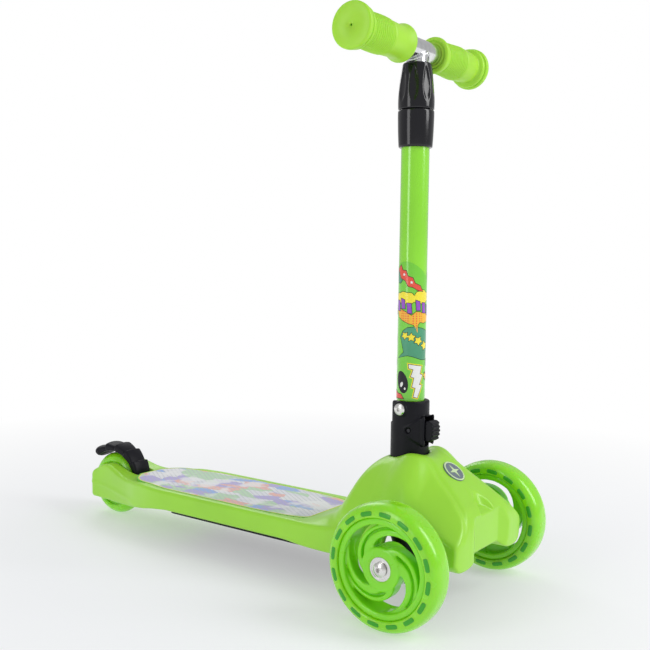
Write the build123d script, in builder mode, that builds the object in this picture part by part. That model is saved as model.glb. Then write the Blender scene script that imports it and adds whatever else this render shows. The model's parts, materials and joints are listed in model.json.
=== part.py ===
"""Children's three-wheeled kick scooter with a folding, telescoping steering bar.

Frame: +X is the rider's left, +Y the rear, +Z up; the origin is on the floor, midway along the
length. Two large wheels stand at the front (-Y) on tilted kingpins that steer together, and one
small wheel with a foot brake stands at the rear. All sizes are in millimetres.
"""

import os
from math import cos, radians, sin

from build123d import *

os.makedirs("parts", exist_ok=True)

# ---- wheels -------------------------------------------------------------------------------
FRONT_R = 60.0
FRONT_W = 30.0
REAR_R = 40.0
REAR_W = 24.0
TRACK = 216.0
FRONT_Y = -235.0
REAR_Y = 255.0
RIM_R = 47.0
BEARING_R = 11.0
BEARING_W = 7.0
BEARING_SHIELD_R = 7.9
AXLE_R = 4.0
SPACER_R = 6.0
REAR_SEAT_R = 28.0

# ---- deck and hood ------------------------------------------------------------------------
DECK_HALF = 60.0
DECK_BOTTOM = 40.0
DECK_TOP = 63.5
SKIN = 3.0
MAT_T = 1.5
PLATE_T = 3.0
HOOD_REAR_Y = -95.0
HOOD_TOP = 146.0
TAIL_END = 280.0
FENDER_Y = 209.5
FENDER_Z = 52.0
ARCH_R = 31.0
ARCH_Z = 58.0
RECESS_Y = -280.5
RECESS_W = 52.0
RECESS_TOP = 97.0
RECESS_BOTTOM = 60.0
RECESS_REACH = 40.0
FORK_GAP = 15.0
FORK_START = 203.0
BADGE_R = 12.5
BADGE_SINK = 1.0
POCKET_HALF = 56.0
RIB_T = 2.4
PLATE_SIZE = (108.0, 240.0)
PLATE_Y = -12.0

# ---- front truck --------------------------------------------------------------------------
KINGPIN_X = 74.0
KINGPIN_TILT = 20.0
KINGPIN_R = 4.0
ARM_LENGTH = 34.0
BOLT_TIP = 9.4
NUT_IN = 10.0
NUT_OUT = 15.0
NUT_CORNER = 7.5
EAR_NEAR = 17.0
EAR_FAR = 23.0
EAR_R = 9.5
TRUCK_PLATE_T = 6.0
TRUCK_PLATE_W = 56.0
TIE_EYE_R = 6.0

# ---- fold block and stem ------------------------------------------------------------------
STEM_Y = -191.5
PIVOT_Z = 189.0
BLOCK_R = 19.7
BLOCK_BASE = 70.0
BLOCK_TOP = 197.0
LATCH_Y = -199.8
LATCH_Z = 167.7
TUBE_R = 14.3
TUBE_WALL = 1.5
TUBE_BOTTOM = 195.0
TUBE_TOP = 480.0
RIVET_Z = 207.0
WELL_FLOOR = 150.0
BOSS_R = 7.6
BOSS_PROUD = 0.8
DECAL_T = 0.2
DECAL_TOP = 325.5
DECAL_SLOPE = 0.875

# ---- collar and T-bar ---------------------------------------------------------------------
COLLAR_BOTTOM = 452.5
COLLAR_TOP = 489.5
COLLET_BOTTOM = 498.0
COLLET_TOP = 527.0
THREAD_R = 11.8
THREAD_TOP = 505.0
NUT_TOP = 536.0
NUT_R = 18.25
FLUTES = 8
BAR_R = 11.0
BAR_WALL = 1.6
BAR_Z = 550.0
INNER_TUBE_BOTTOM = 225.0
GRIP_END = 117.0
GRIP_START = 38.0
BAR_END = 113.0
FLANGE_R = 21.7

# ---- fasteners ----------------------------------------------------------------------------
PIN_R = 2.0
SCREW_R = 1.6
BLOCK_BOLT_R = 2.5
TRUCK_BOLT_R = 3.0
FOLD_BOLT_R = 4.0
TIE_PIN_R = 2.5

# ---- fits ---------------------------------------------------------------------------------
RUN = 0.05
GAP = 0.6
THROUGH = 100.0

SIDES = (("right", -1), ("left", 1))
UNDERSIDE = DECK_TOP - SKIN - MAT_T
PLATE_BOTTOM = DECK_BOTTOM - PLATE_T


def save(piece, name):
    """Labels a finished sub-part and writes its STEP file."""
    piece.part.label = name
    export_step(piece.part, f"parts/{name}.step")


def side_plane(x, y=0.0, z=0.0):
    """Plane seen from the side: local X is +Y (rear), local Y is +Z, the normal is +X."""
    return Plane(origin=(x, y, z), x_dir=(0, 1, 0), z_dir=(1, 0, 0))


def axle_plane(x, y, z):
    """Section plane through an axle: local X runs along +X and local Y points up."""
    return Plane(origin=(x, y, z), x_dir=(1, 0, 0), z_dir=(0, -1, 0))


def axle_axis(y, z):
    """Axis of an axle that runs across the scooter."""
    return Axis((0, y, z), (1, 0, 0))


def post_plane(y=STEM_Y):
    """Section plane through the steering stem: local X is +X and local Y is +Z."""
    return Plane(origin=(0, y, 0), x_dir=(1, 0, 0), z_dir=(0, -1, 0))


STEM_AXIS = Axis((0, STEM_Y, 0), (0, 0, 1))


# ===========================================================================================
# Deck and hood
# ===========================================================================================
def hood_form(inset, floor_z):
    """The hood's smooth outer form, or its faceted hollow when inset is the wall's thickness."""
    curve = Polyline if inset else Spline
    with BuildPart() as form:
        with BuildSketch(side_plane(-100)):
            with BuildLine():
                front = Polyline((-200, floor_z), (-286, floor_z + 4), (-287, 62), (-286, 88))
                nose = curve(front @ 1, (-281, 101), (-266, 112), (-244, 129), (-225, 141))
                back = curve(
                    nose @ 1, (-200, HOOD_TOP), (-172, 139), (-148, 125), (-115, 91), (HOOD_REAR_Y, 70)
                )
                Polyline(back @ 1, (HOOD_REAR_Y + 8, DECK_TOP), (HOOD_REAR_Y + 8, 41), (-200, floor_z))
            make_face()
            if inset:
                offset(amount=-inset, kind=Kind.INTERSECTION)
        extrude(amount=200)
        with BuildSketch(Plane.XY.offset(10)):
            with BuildLine():
                half = curve((52, -288), (66, -283), (71, -262), (71, -215), (65, -170), (DECK_HALF, -100))
                Polyline(half @ 1, (DECK_HALF, -80), (0, -80), (0, -288), half @ 0)
            make_face()
            mirror(about=Plane.YZ)
            if inset:
                offset(amount=-inset, kind=Kind.INTERSECTION)
        extrude(amount=160, mode=Mode.INTERSECT)
        with BuildSketch(Plane(origin=(0, -300, 0), x_dir=(1, 0, 0), z_dir=(0, -1, 0))):
            with BuildLine():
                flank = Polyline((0, 10), (71, 10), (72, 82))
                crown = curve(flank @ 1, (66, 104), (50, 127), (30, 142), (0, 147))
                Line(crown @ 1, (0, 10))
            make_face()
            mirror(about=Plane.YZ)
            if inset:
                offset(amount=-inset, kind=Kind.INTERSECTION)
        extrude(amount=-240, mode=Mode.INTERSECT)
    return form


def deck_plan():
    """The deck's outline in plan, from under the hood to the tail's fork."""
    with BuildSketch() as plan:
        with BuildLine():
            side = Polyline((0, -205), (DECK_HALF - 2, -205), (DECK_HALF, -150), (DECK_HALF, 115))
            taper = Bezier(side @ 1, (DECK_HALF, 168), (34, 205), (29, 258))
            Polyline(taper @ 1, (27, TAIL_END), (0, TAIL_END), (0, -205))
        make_face()
        mirror(about=Plane.YZ)
    return plan.sketch


def mat_plan():
    """The outline of the printed mat and of its recess."""
    with BuildSketch() as plan:
        with BuildLine():
            side = Polyline((0, -92), (34, -92), (43, -86), (51, -13), (51, 105))
            back = Spline(side @ 1, (46, 145), (38, 178), (17, 195), tangents=((0, 1), (-1, 0)))
            Polyline(back @ 1, (0, 195), (0, -92))
        make_face()
        mirror(about=Plane.YZ)
    return plan.sketch


SCREW_POST_R = 5.0
BOTTOM_SCREWS = [(x, y) for y in (-118, -40, 38, 96) for x in (-46, 46)]
TRUCK_BOLTS = [(x, y) for y in (-142, -120) for x in (-20, 20)]
BLOCK_BOLTS = [(x, STEM_Y + y) for x in (-17, 17) for y in (-17, 17)]
DECK_RIBS = (-78, -2, 66, 110, 150)

BADGE_PLANE = Plane(origin=(0, -243.6, 129.4), x_dir=(1, 0, 0), z_dir=(0, -0.62, 0.78))

hood_outer = hood_form(0.0, 47.0)
hood_inner = hood_form(SKIN, 30.0)

with BuildPart() as hood_hollow:
    add(hood_inner.part)
    with BuildSketch(Plane.XY):
        with Locations((0, -115)):
            Rectangle(200, 70)
    extrude(amount=DECK_TOP, mode=Mode.SUBTRACT)

with BuildPart() as deck_pocket:
    with BuildSketch(Plane.XY):
        with BuildLine():
            side = Polyline((0, -153), (POCKET_HALF, -153), (POCKET_HALF, 118))
            Polyline(side @ 1, (51, 156), (44, 184), (0, 184), (0, -153))
        make_face()
        mirror(about=Plane.YZ)
    extrude(amount=UNDERSIDE)
    with BuildSketch(Plane.XY):
        for rib_y in DECK_RIBS:
            with Locations((0, rib_y)):
                Rectangle(2 * THROUGH, RIB_T)
        with Locations((0, 55)):
            Rectangle(RIB_T, 260)
    extrude(amount=THROUGH, mode=Mode.SUBTRACT)
    with BuildSketch(Plane.XY):
        with Locations(*BOTTOM_SCREWS):
            Circle(SCREW_POST_R)
    extrude(amount=THROUGH, mode=Mode.SUBTRACT)

with BuildPart() as recess_liner:
    with BuildSketch(Plane.XY.offset(RECESS_BOTTOM)):
        with Locations((0, RECESS_Y + SKIN - RECESS_REACH / 2)):
            Rectangle(RECESS_W + 2 * SKIN, RECESS_REACH)
    extrude(amount=RECESS_TOP + SKIN - RECESS_BOTTOM)
    with BuildSketch(Plane.XY):
        with Locations((0, RECESS_Y - RECESS_REACH / 2)):
            Rectangle(RECESS_W, RECESS_REACH)
    extrude(amount=RECESS_TOP, mode=Mode.SUBTRACT)
    add(hood_outer.part, mode=Mode.INTERSECT)

with BuildPart() as deck_shell:
    with BuildSketch(side_plane(-70)):
        with BuildLine():
            top = Line((-205, DECK_TOP), (150, DECK_TOP))
            crest = Spline(
                top @ 1, (192, 60), (215, 61.5), (244, 69.6), (260, 67), (TAIL_END, 56),
                tangents=((1, 0), (0.6, -1)),
            )
            Polyline(
                crest @ 1, (TAIL_END, 27), (276, 23.2), (250, 23.2), (193, 26.8), (113, DECK_BOTTOM),
                (-205, DECK_BOTTOM), (-205, DECK_TOP),
            )
        make_face()
    extrude(amount=140)
    with BuildSketch(Plane.XY):
        add(deck_plan())
    extrude(amount=100, mode=Mode.INTERSECT)
    add(hood_outer.part)
    # Wheel arches: one cut across both flanks, round the front axle.
    with BuildSketch(side_plane(-100, FRONT_Y)):
        with Locations((0, ARCH_Z)):
            Circle(ARCH_R)
        with Locations((8, ARCH_Z / 2)):
            Rectangle(78, ARCH_Z)
    extrude(amount=2 * THROUGH, mode=Mode.SUBTRACT)
    add(hood_hollow.part, mode=Mode.SUBTRACT)
    add(deck_pocket.part, mode=Mode.SUBTRACT)
    # Recess between the two front lobes, closed behind by its own liner.
    with BuildSketch(Plane.XY):
        with Locations((0, RECESS_Y - RECESS_REACH / 2)):
            Rectangle(RECESS_W, RECESS_REACH)
    extrude(amount=RECESS_TOP, mode=Mode.SUBTRACT)
    add(recess_liner.part)
    # Round hole for the fold block.
    with BuildSketch(Plane.XY.offset(100)):
        with Locations((0, STEM_Y)):
            Circle(BLOCK_R + 0.3)
    extrude(amount=60, mode=Mode.SUBTRACT)
    # Recess for the mat and the fork gap for the rear wheel.
    with BuildSketch(Plane.XY.offset(DECK_TOP - MAT_T)):
        add(mat_plan())
    extrude(amount=20, mode=Mode.SUBTRACT)
    with BuildSketch(Plane.XY):
        with Locations((0, FORK_START + THROUGH / 2)):
            Rectangle(2 * FORK_GAP, THROUGH)
    extrude(amount=THROUGH, mode=Mode.SUBTRACT)
    with BuildSketch(BADGE_PLANE.offset(-BADGE_SINK)):
        Circle(BADGE_R)
    extrude(amount=6, mode=Mode.SUBTRACT)
    # Bores: rear axle, fender pin, bottom screws and truck bolts.
    with BuildSketch(side_plane(-60, REAR_Y, REAR_R)):
        Circle(AXLE_R)
    extrude(amount=120, mode=Mode.SUBTRACT)
    with BuildSketch(side_plane(-60, FENDER_Y, FENDER_Z)):
        Circle(PIN_R)
    extrude(amount=120, mode=Mode.SUBTRACT)
    with BuildSketch(Plane.XY.offset(DECK_BOTTOM)):
        with Locations(*BOTTOM_SCREWS):
            Circle(SCREW_R)
    extrude(amount=12, mode=Mode.SUBTRACT)
    with BuildSketch(Plane.XY.offset(DECK_BOTTOM)):
        with Locations(*TRUCK_BOLTS):
            Circle(TRUCK_BOLT_R)
    extrude(amount=30, mode=Mode.SUBTRACT)
save(deck_shell, "deck_shell")

with BuildPart() as deck_mat:
    with BuildSketch(Plane.XY.offset(DECK_TOP - MAT_T)):
        add(mat_plan())
    extrude(amount=MAT_T)
save(deck_mat, "deck_mat")

with BuildPart() as bottom_plate:
    with BuildSketch(Plane.XY.offset(PLATE_BOTTOM)):
        with Locations((0, PLATE_Y)):
            RectangleRounded(*PLATE_SIZE, 10)
    extrude(amount=PLATE_T)
    with Locations(*[Location((x, y, PLATE_BOTTOM), (180, 0, 0)) for x, y in BOTTOM_SCREWS]):
        CounterSinkHole(radius=2.1, counter_sink_radius=4.0)
save(bottom_plate, "bottom_plate")

with BuildPart() as bottom_plate_screws:
    for x, y in BOTTOM_SCREWS:
        with BuildSketch(Plane(origin=(x, y, 0), x_dir=(1, 0, 0), z_dir=(0, -1, 0))):
            with BuildLine():
                Polyline(
                    (0, PLATE_BOTTOM + 0.2), (3.7, PLATE_BOTTOM + 0.2), (SCREW_R, PLATE_BOTTOM + 2.4),
                    (SCREW_R, PLATE_BOTTOM + 14.5), (0, PLATE_BOTTOM + 15), (0, PLATE_BOTTOM + 0.2),
                )
            make_face()
        revolve(axis=Axis((x, y, 0), (0, 0, 1)))
save(bottom_plate_screws, "bottom_plate_screws")

with BuildPart() as hood_badge:
    with BuildSketch(BADGE_PLANE.offset(-BADGE_SINK)):
        Circle(BADGE_R)
    extrude(amount=1.8)
    fillet(hood_badge.edges().group_by(SortBy.LENGTH)[-1].sort_by(Axis.Z)[-1:], 0.5)
save(hood_badge, "hood_badge")


# ===========================================================================================
# Front truck: frame, tilted kingpins, steering knuckles, tie rod and centring springs
# ===========================================================================================
TILT = radians(KINGPIN_TILT)
PIN_DIR = (0, sin(TILT), cos(TILT))


def kingpin_plane(side, s=0.0):
    """Plane square to a kingpin at height s along it: local X is +X, local Y points rearward."""
    origin = (side * KINGPIN_X, FRONT_Y + s * PIN_DIR[1], FRONT_R + s * PIN_DIR[2])
    return Plane(origin=origin, x_dir=(1, 0, 0), z_dir=PIN_DIR)


with BuildPart() as front_truck_frame:
    with BuildSketch(side_plane(-62, FRONT_Y, FRONT_R)):
        with Locations((2, 2)):
            Rectangle(26, 22, rotation=-KINGPIN_TILT)
    extrude(amount=124)
    with BuildSketch(Plane.XY.offset(UNDERSIDE - TRUCK_PLATE_T)):
        with Locations((0, -137)):
            Rectangle(TRUCK_PLATE_W, 54)
    extrude(amount=TRUCK_PLATE_T)
    with BuildSketch(Plane.XY.offset(UNDERSIDE)):
        with Locations((0, -185.75)):
            Rectangle(TRUCK_PLATE_W, 69.5)
    extrude(amount=BLOCK_BASE - UNDERSIDE)
    for _, side in SIDES:
        for low, high in ((EAR_NEAR, EAR_FAR), (-EAR_FAR, -EAR_NEAR)):
            with BuildSketch(kingpin_plane(side, low)):
                Circle(EAR_R)
                with Locations((-side * 8, 0)):
                    Rectangle(20, 2 * EAR_R)
            extrude(amount=high - low)
        with BuildSketch(kingpin_plane(side, -EAR_FAR)):
            with Locations((-side * 15.5, 0)):
                Rectangle(7, 2 * EAR_R)
        extrude(amount=2 * EAR_FAR)
        with BuildSketch(kingpin_plane(side, -EAR_FAR)):
            Circle(KINGPIN_R)
        extrude(amount=2 * EAR_FAR, mode=Mode.SUBTRACT)
    with BuildSketch(Plane.XY.offset(DECK_BOTTOM)):
        with Locations(*TRUCK_BOLTS):
            Circle(TRUCK_BOLT_R)
        with Locations(*BLOCK_BOLTS):
            Circle(BLOCK_BOLT_R)
    extrude(amount=40, mode=Mode.SUBTRACT)
save(front_truck_frame, "front_truck_frame")

with BuildPart() as truck_bolts:
    plate_low = UNDERSIDE - TRUCK_PLATE_T
    for x, y in TRUCK_BOLTS:
        with BuildSketch(Plane.XY.offset(plate_low - 4)):
            with Locations((x, y)):
                RegularPolygon(5.2, 6)
        extrude(amount=4)
        with BuildSketch(Plane.XY.offset(plate_low)):
            with Locations((x, y)):
                Circle(TRUCK_BOLT_R)
        extrude(amount=DECK_TOP + 7 - plate_low)
save(truck_bolts, "truck_bolts")

with BuildPart() as truck_nuts:
    with BuildSketch(Plane.XY.offset(DECK_TOP)):
        with Locations(*TRUCK_BOLTS):
            RegularPolygon(5.6, 6)
            Circle(TRUCK_BOLT_R, mode=Mode.SUBTRACT)
    extrude(amount=5)
save(truck_nuts, "truck_nuts")

for name, side in SIDES:
    with BuildPart() as kingpin:
        with BuildSketch(kingpin_plane(side, -EAR_FAR - 2)):
            Circle(KINGPIN_R)
        extrude(amount=2 * EAR_FAR + 4)
        with BuildSketch(kingpin_plane(side, EAR_FAR)):
            Circle(6.5)
        extrude(amount=3)
        with BuildSketch(kingpin_plane(side, -EAR_FAR - 3)):
            Circle(5.5)
        extrude(amount=2.8)
    save(kingpin, f"kingpin_{name}")

    with BuildPart() as steering_knuckle:
        with BuildSketch(kingpin_plane(side, -7.5)):
            Circle(9)
            with BuildLine():
                Polyline((-5, 4), (5, 4), (4, ARM_LENGTH), (-4, ARM_LENGTH), (-5, 4))
            make_face()
            with Locations((0, ARM_LENGTH)):
                Circle(TIE_EYE_R)
        extrude(amount=8)
        with BuildSketch(kingpin_plane(side, -7.5)):
            Circle(9)
        extrude(amount=24)
        # Stub for the wheel bolt, moulded round its nut.
        with BuildSketch(axle_plane(side * KINGPIN_X, FRONT_Y, FRONT_R)):
            with BuildLine():
                outline = [
                    (1, 0), (1, 10.5), (16.5, 10.5), (16.5, 6.5), (20.5, 6.5), (20.5, AXLE_R),
                    (NUT_OUT, AXLE_R), (NUT_OUT, NUT_CORNER), (NUT_IN, NUT_CORNER), (NUT_IN, AXLE_R),
                    (BOLT_TIP, AXLE_R), (BOLT_TIP, 0), (1, 0),
                ]
                Polyline(*[(side * x, r) for x, r in outline])
            make_face()
        revolve(axis=axle_axis(FRONT_Y, FRONT_R))
        with BuildSketch(kingpin_plane(side, -20)):
            Circle(KINGPIN_R + RUN)
        extrude(amount=40, mode=Mode.SUBTRACT)
        with BuildSketch(kingpin_plane(side, -20)):
            with Locations((0, ARM_LENGTH)):
                Circle(TIE_PIN_R)
        extrude(amount=40, mode=Mode.SUBTRACT)
    save(steering_knuckle, f"steering_knuckle_{name}")

    with BuildPart() as centring_spring:
        with BuildLine():
            foot = kingpin_plane(side, -EAR_NEAR + 1.4).origin
            coil = Helix(pitch=1.8, height=3.6, radius=6.0, center=foot, direction=PIN_DIR)
        with BuildSketch(Plane(origin=coil @ 0, z_dir=coil % 0)):
            Circle(0.8)
        sweep(is_frenet=True)
    save(centring_spring, f"centring_spring_{name}")

with BuildPart() as tie_rod:
    rod_plane = kingpin_plane(0, 0.8)
    with BuildSketch(rod_plane):
        with Locations((0, ARM_LENGTH)):
            Rectangle(2 * KINGPIN_X, 8)
        for _, side in SIDES:
            with Locations((side * KINGPIN_X, ARM_LENGTH)):
                Circle(TIE_EYE_R)
        for _, side in SIDES:
            with Locations((side * KINGPIN_X, ARM_LENGTH)):
                Circle(TIE_PIN_R + RUN, mode=Mode.SUBTRACT)
    extrude(amount=5)
save(tie_rod, "tie_rod")

for name, side in SIDES:
    with BuildPart() as tie_rod_pin:
        with BuildSketch(kingpin_plane(side, -10.5)):
            with Locations((0, ARM_LENGTH)):
                Circle(4.5)
        extrude(amount=2.6)
        with BuildSketch(kingpin_plane(side, -9)):
            with Locations((0, ARM_LENGTH)):
                Circle(TIE_PIN_R)
        extrude(amount=17.2)
        with BuildSketch(kingpin_plane(side, 6.2)):
            with Locations((0, ARM_LENGTH)):
                Circle(4.5)
        extrude(amount=2)
    save(tie_rod_pin, f"tie_rod_pin_{name}")


# ===========================================================================================
# Front wheels
# ===========================================================================================
WHEEL_X = TRACK / 2
HUB_R = 20.0
HUB_HALF = 13.0
HUB_BORE_R = 8.5
RING_IN_R = 41.0
SPACER_HALF = 5.4
ARMS = 3
ARM_HALF = 9.0
ARM_SWEEP = 95.0


def tyre_section(radius, width, seat):
    """Half of a rounded tyre section; the seat is its inner radius."""
    half = width / 2
    side_top = seat + (radius - seat) * 0.35
    with BuildSketch() as section:
        with BuildLine():
            foot = Polyline((-half + 1, seat), (-half, seat + 2), (-half, side_top))
            crown = ThreePointArc(foot @ 1, (0, radius), (half, side_top))
            Polyline(crown @ 1, (half, seat + 2), (half - 1, seat), (-half + 1, seat))
        make_face()
    return section.sketch


def arm_path(start_angle, turn):
    """Centre line of one spiral arm, from the hub to the rim ring."""
    polar = [(HUB_R, 0.0), (32.5, 0.5 * ARM_SWEEP), (RING_IN_R + 0.5, ARM_SWEEP)]
    points = []
    for radius, sweep_angle in polar:
        angle = radians(start_angle + turn * sweep_angle)
        points.append((radius * cos(angle), radius * sin(angle)))
    return ThreePointArc(*points)


for name, side in SIDES:
    centre = side * WHEEL_X
    # Both wheels are the same moulding, so the arms turn the same way seen from outside.
    turn = -side
    with BuildPart() as front_rim:
        with BuildSketch(axle_plane(centre, FRONT_Y, FRONT_R)):
            with Locations((0, (RING_IN_R + RIM_R) / 2)):
                Rectangle(2 * HUB_HALF, RIM_R - RING_IN_R)
            with Locations((0, (BEARING_R + HUB_R) / 2)):
                Rectangle(2 * HUB_HALF, HUB_R - BEARING_R)
        revolve(axis=axle_axis(FRONT_Y, FRONT_R))
        for index in range(ARMS):
            start = 25 + index * 360 / ARMS
            with BuildSketch(side_plane(centre - ARM_HALF, FRONT_Y, FRONT_R)):
                with BuildLine(mode=Mode.PRIVATE):
                    path = arm_path(start, turn)
                SlotArc(path, 11)
                Circle(16, mode=Mode.SUBTRACT)
            extrude(amount=2 * ARM_HALF)
            for low in (-ARM_HALF, ARM_HALF - 4):
                with BuildSketch(side_plane(centre + low, FRONT_Y, FRONT_R)):
                    with BuildLine(mode=Mode.PRIVATE):
                        groove = arm_path(start + turn * 4, turn * 0.86)
                    SlotArc(groove, 3.2)
                extrude(amount=4, mode=Mode.SUBTRACT)
        with BuildSketch(side_plane(centre - 20, FRONT_Y, FRONT_R)):
            Circle(BEARING_R)
        extrude(amount=40, mode=Mode.SUBTRACT)
        with BuildSketch(axle_plane(centre, FRONT_Y, FRONT_R)):
            with Locations((0, (HUB_BORE_R + BEARING_R) / 2)):
                Rectangle(2 * HUB_HALF - 2 * BEARING_W - 1, BEARING_R - HUB_BORE_R)
        revolve(axis=axle_axis(FRONT_Y, FRONT_R))
        with BuildSketch(side_plane(centre - 20, FRONT_Y, FRONT_R)):
            Circle(RIM_R + 10)
            Circle(RIM_R, mode=Mode.SUBTRACT)
        extrude(amount=40, mode=Mode.SUBTRACT)
    save(front_rim, f"front_rim_{name}")

    with BuildPart() as front_tyre:
        with BuildSketch(axle_plane(centre, FRONT_Y, FRONT_R)):
            add(tyre_section(FRONT_R, FRONT_W, RIM_R))
        revolve(axis=axle_axis(FRONT_Y, FRONT_R))
    save(front_tyre, f"front_tyre_{name}")

    with BuildPart() as front_bearings:
        for end in (-1, 1):
            middle = end * (HUB_HALF - 0.5 - BEARING_W / 2)
            with BuildSketch(axle_plane(centre + middle, FRONT_Y, FRONT_R)):
                with Locations((0, (BEARING_R + AXLE_R + RUN) / 2)):
                    Rectangle(BEARING_W, BEARING_R - AXLE_R - RUN)
                for face in (-1, 1):
                    with Locations((face * BEARING_W / 2, BEARING_SHIELD_R)):
                        Rectangle(0.8, 3.2, mode=Mode.SUBTRACT)
            revolve(axis=axle_axis(FRONT_Y, FRONT_R))
    save(front_bearings, f"front_bearings_{name}")

    with BuildPart() as axle_spacer:
        with BuildSketch(side_plane(centre - SPACER_HALF, FRONT_Y, FRONT_R)):
            Circle(SPACER_R)
            Circle(AXLE_R, mode=Mode.SUBTRACT)
        extrude(amount=2 * SPACER_HALF)
    save(axle_spacer, f"axle_spacer_{name}")

    with BuildPart() as axle_bolt:
        head = centre + side * (HUB_HALF - 0.4)
        with BuildSketch(axle_plane(head, FRONT_Y, FRONT_R)):
            with BuildLine():
                rim = Polyline((0, 0), (0, 6.8), (side * 1.4, 6.8))
                dome = ThreePointArc(rim @ 1, (side * 2.8, 4.6), (side * 3.4, 0))
                Line(dome @ 1, (0, 0))
            make_face()
        revolve(axis=axle_axis(FRONT_Y, FRONT_R))
        with BuildSketch(side_plane(head, FRONT_Y, FRONT_R)):
            Circle(AXLE_R)
        extrude(amount=-side * (abs(head) - KINGPIN_X - BOLT_TIP))
        with BuildSketch(side_plane(head + side * 4, FRONT_Y, FRONT_R)):
            RegularPolygon(2.6, 6)
        extrude(amount=-side * 3.2, mode=Mode.SUBTRACT)
    save(axle_bolt, f"axle_bolt_{name}")

    with BuildPart() as axle_nut:
        with BuildSketch(side_plane(side * (KINGPIN_X + NUT_IN), FRONT_Y, FRONT_R)):
            Circle(NUT_CORNER)
            Circle(AXLE_R, mode=Mode.SUBTRACT)
        extrude(amount=side * (NUT_OUT - NUT_IN))
    save(axle_nut, f"axle_nut_{name}")


# ===========================================================================================
# Rear wheel and foot brake
# ===========================================================================================
REAR_HUB_HALF = 10.0

with BuildPart() as rear_core:
    with BuildSketch(axle_plane(0, REAR_Y, REAR_R)):
        with Locations((0, 14.0)):
            Rectangle(2 * REAR_HUB_HALF, 6)
        with Locations((0, 20.5)):
            Rectangle(8, 9)
        with Locations((0, REAR_SEAT_R - 2)):
            Rectangle(18, 4)
        with Locations((0, 9.75)):
            Rectangle(2 * REAR_HUB_HALF - 2 * BEARING_W - 1, 2.5)
    revolve(axis=axle_axis(REAR_Y, REAR_R))
save(rear_core, "rear_core")

with BuildPart() as rear_tyre:
    with BuildSketch(axle_plane(0, REAR_Y, REAR_R)):
        add(tyre_section(REAR_R, REAR_W, REAR_SEAT_R))
    revolve(axis=axle_axis(REAR_Y, REAR_R))
save(rear_tyre, "rear_tyre")

with BuildPart() as rear_bearings:
    for end in (-1, 1):
        middle = end * (REAR_HUB_HALF - 0.5 - BEARING_W / 2)
        with BuildSketch(axle_plane(middle, REAR_Y, REAR_R)):
            with Locations((0, (BEARING_R + AXLE_R + RUN) / 2)):
                Rectangle(BEARING_W, BEARING_R - AXLE_R - RUN)
            for face in (-1, 1):
                with Locations((face * BEARING_W / 2, BEARING_SHIELD_R)):
                    Rectangle(0.8, 3.2, mode=Mode.SUBTRACT)
        revolve(axis=axle_axis(REAR_Y, REAR_R))
save(rear_bearings, "rear_bearings")

with BuildPart() as rear_axle:
    with BuildSketch(side_plane(-25, REAR_Y, REAR_R)):
        Circle(AXLE_R)
    extrude(amount=50)
save(rear_axle, "rear_axle")

with BuildPart() as rear_spacers:
    for side in (-1, 1):
        with BuildSketch(side_plane(side * (REAR_HUB_HALF - 0.4), REAR_Y, REAR_R)):
            Circle(SPACER_R)
            Circle(AXLE_R, mode=Mode.SUBTRACT)
        extrude(amount=side * (FORK_GAP - REAR_HUB_HALF + 0.4))
save(rear_spacers, "rear_spacers")

FENDER_IN = 44.0
FENDER_OUT = 48.0
FENDER_HALF = 13.5
FENDER_EYE_R = 5.0
FENDER_START = 166.0
FENDER_END = 44.0
STEPS = 5
STEP_PITCH = 22.0


def ring_point(radius, degrees):
    """Point about the rear axle, in the side plane, from the level of the axle at the rear."""
    angle = radians(degrees)
    return (radius * cos(angle), radius * sin(angle))


with BuildPart() as brake_fender:
    with BuildSketch(side_plane(-FENDER_HALF, REAR_Y, REAR_R)):
        with BuildLine():
            angles = (FENDER_START, (FENDER_START + FENDER_END) / 2, FENDER_END)
            inner = ThreePointArc(*[ring_point(FENDER_IN, angle) for angle in angles])
            outer = ThreePointArc(*[ring_point(FENDER_OUT, angle) for angle in angles])
            Line(inner @ 0, outer @ 0)
            Line(inner @ 1, outer @ 1)
        make_face()
        with Locations((FENDER_Y - REAR_Y, FENDER_Z - REAR_R)):
            Circle(FENDER_EYE_R)
    extrude(amount=2 * FENDER_HALF)
    # Stepped tread across the top.
    for index in range(STEPS):
        angle = FENDER_END + 5 + index * STEP_PITCH
        with BuildSketch(side_plane(-FENDER_HALF, REAR_Y, REAR_R)):
            with BuildLine():
                Polyline(
                    ring_point(FENDER_OUT - 1, angle - 8), ring_point(FENDER_OUT + 7, angle - 5),
                    ring_point(FENDER_OUT + 6, angle + 3), ring_point(FENDER_OUT - 1, angle + 9),
                    ring_point(FENDER_OUT - 1, angle - 8),
                )
            make_face()
        extrude(amount=2 * FENDER_HALF)
    with BuildSketch(side_plane(-30, FENDER_Y, FENDER_Z)):
        Circle(PIN_R + RUN)
    extrude(amount=60, mode=Mode.SUBTRACT)
    with BuildSketch(side_plane(-5.5, FENDER_Y, FENDER_Z)):
        Circle(5.6)
    extrude(amount=11, mode=Mode.SUBTRACT)
save(brake_fender, "brake_fender")

with BuildPart() as fender_pin:
    with BuildSketch(side_plane(-24, FENDER_Y, FENDER_Z)):
        Circle(PIN_R)
    extrude(amount=48)
save(fender_pin, "fender_pin")

with BuildPart() as fender_spring:
    with BuildLine():
        start = (-3.8, FENDER_Y, FENDER_Z)
        coil = Helix(pitch=1.9, height=7.6, radius=3.4, center=start, direction=(1, 0, 0))
    with BuildSketch(Plane(origin=coil @ 0, z_dir=coil % 0)):
        Circle(0.7)
    sweep(is_frenet=True)
save(fender_spring, "fender_spring")


# ===========================================================================================
# Fold block with its latch
# ===========================================================================================
BOSS_X = BLOCK_R + BOSS_PROUD
WELL_R = TUBE_R + GAP
SLOT_HALF = 8.4
BASE_T = 7.0
LATCH_HALF = 7.0
BUTTON_HALF = 8.0

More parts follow.
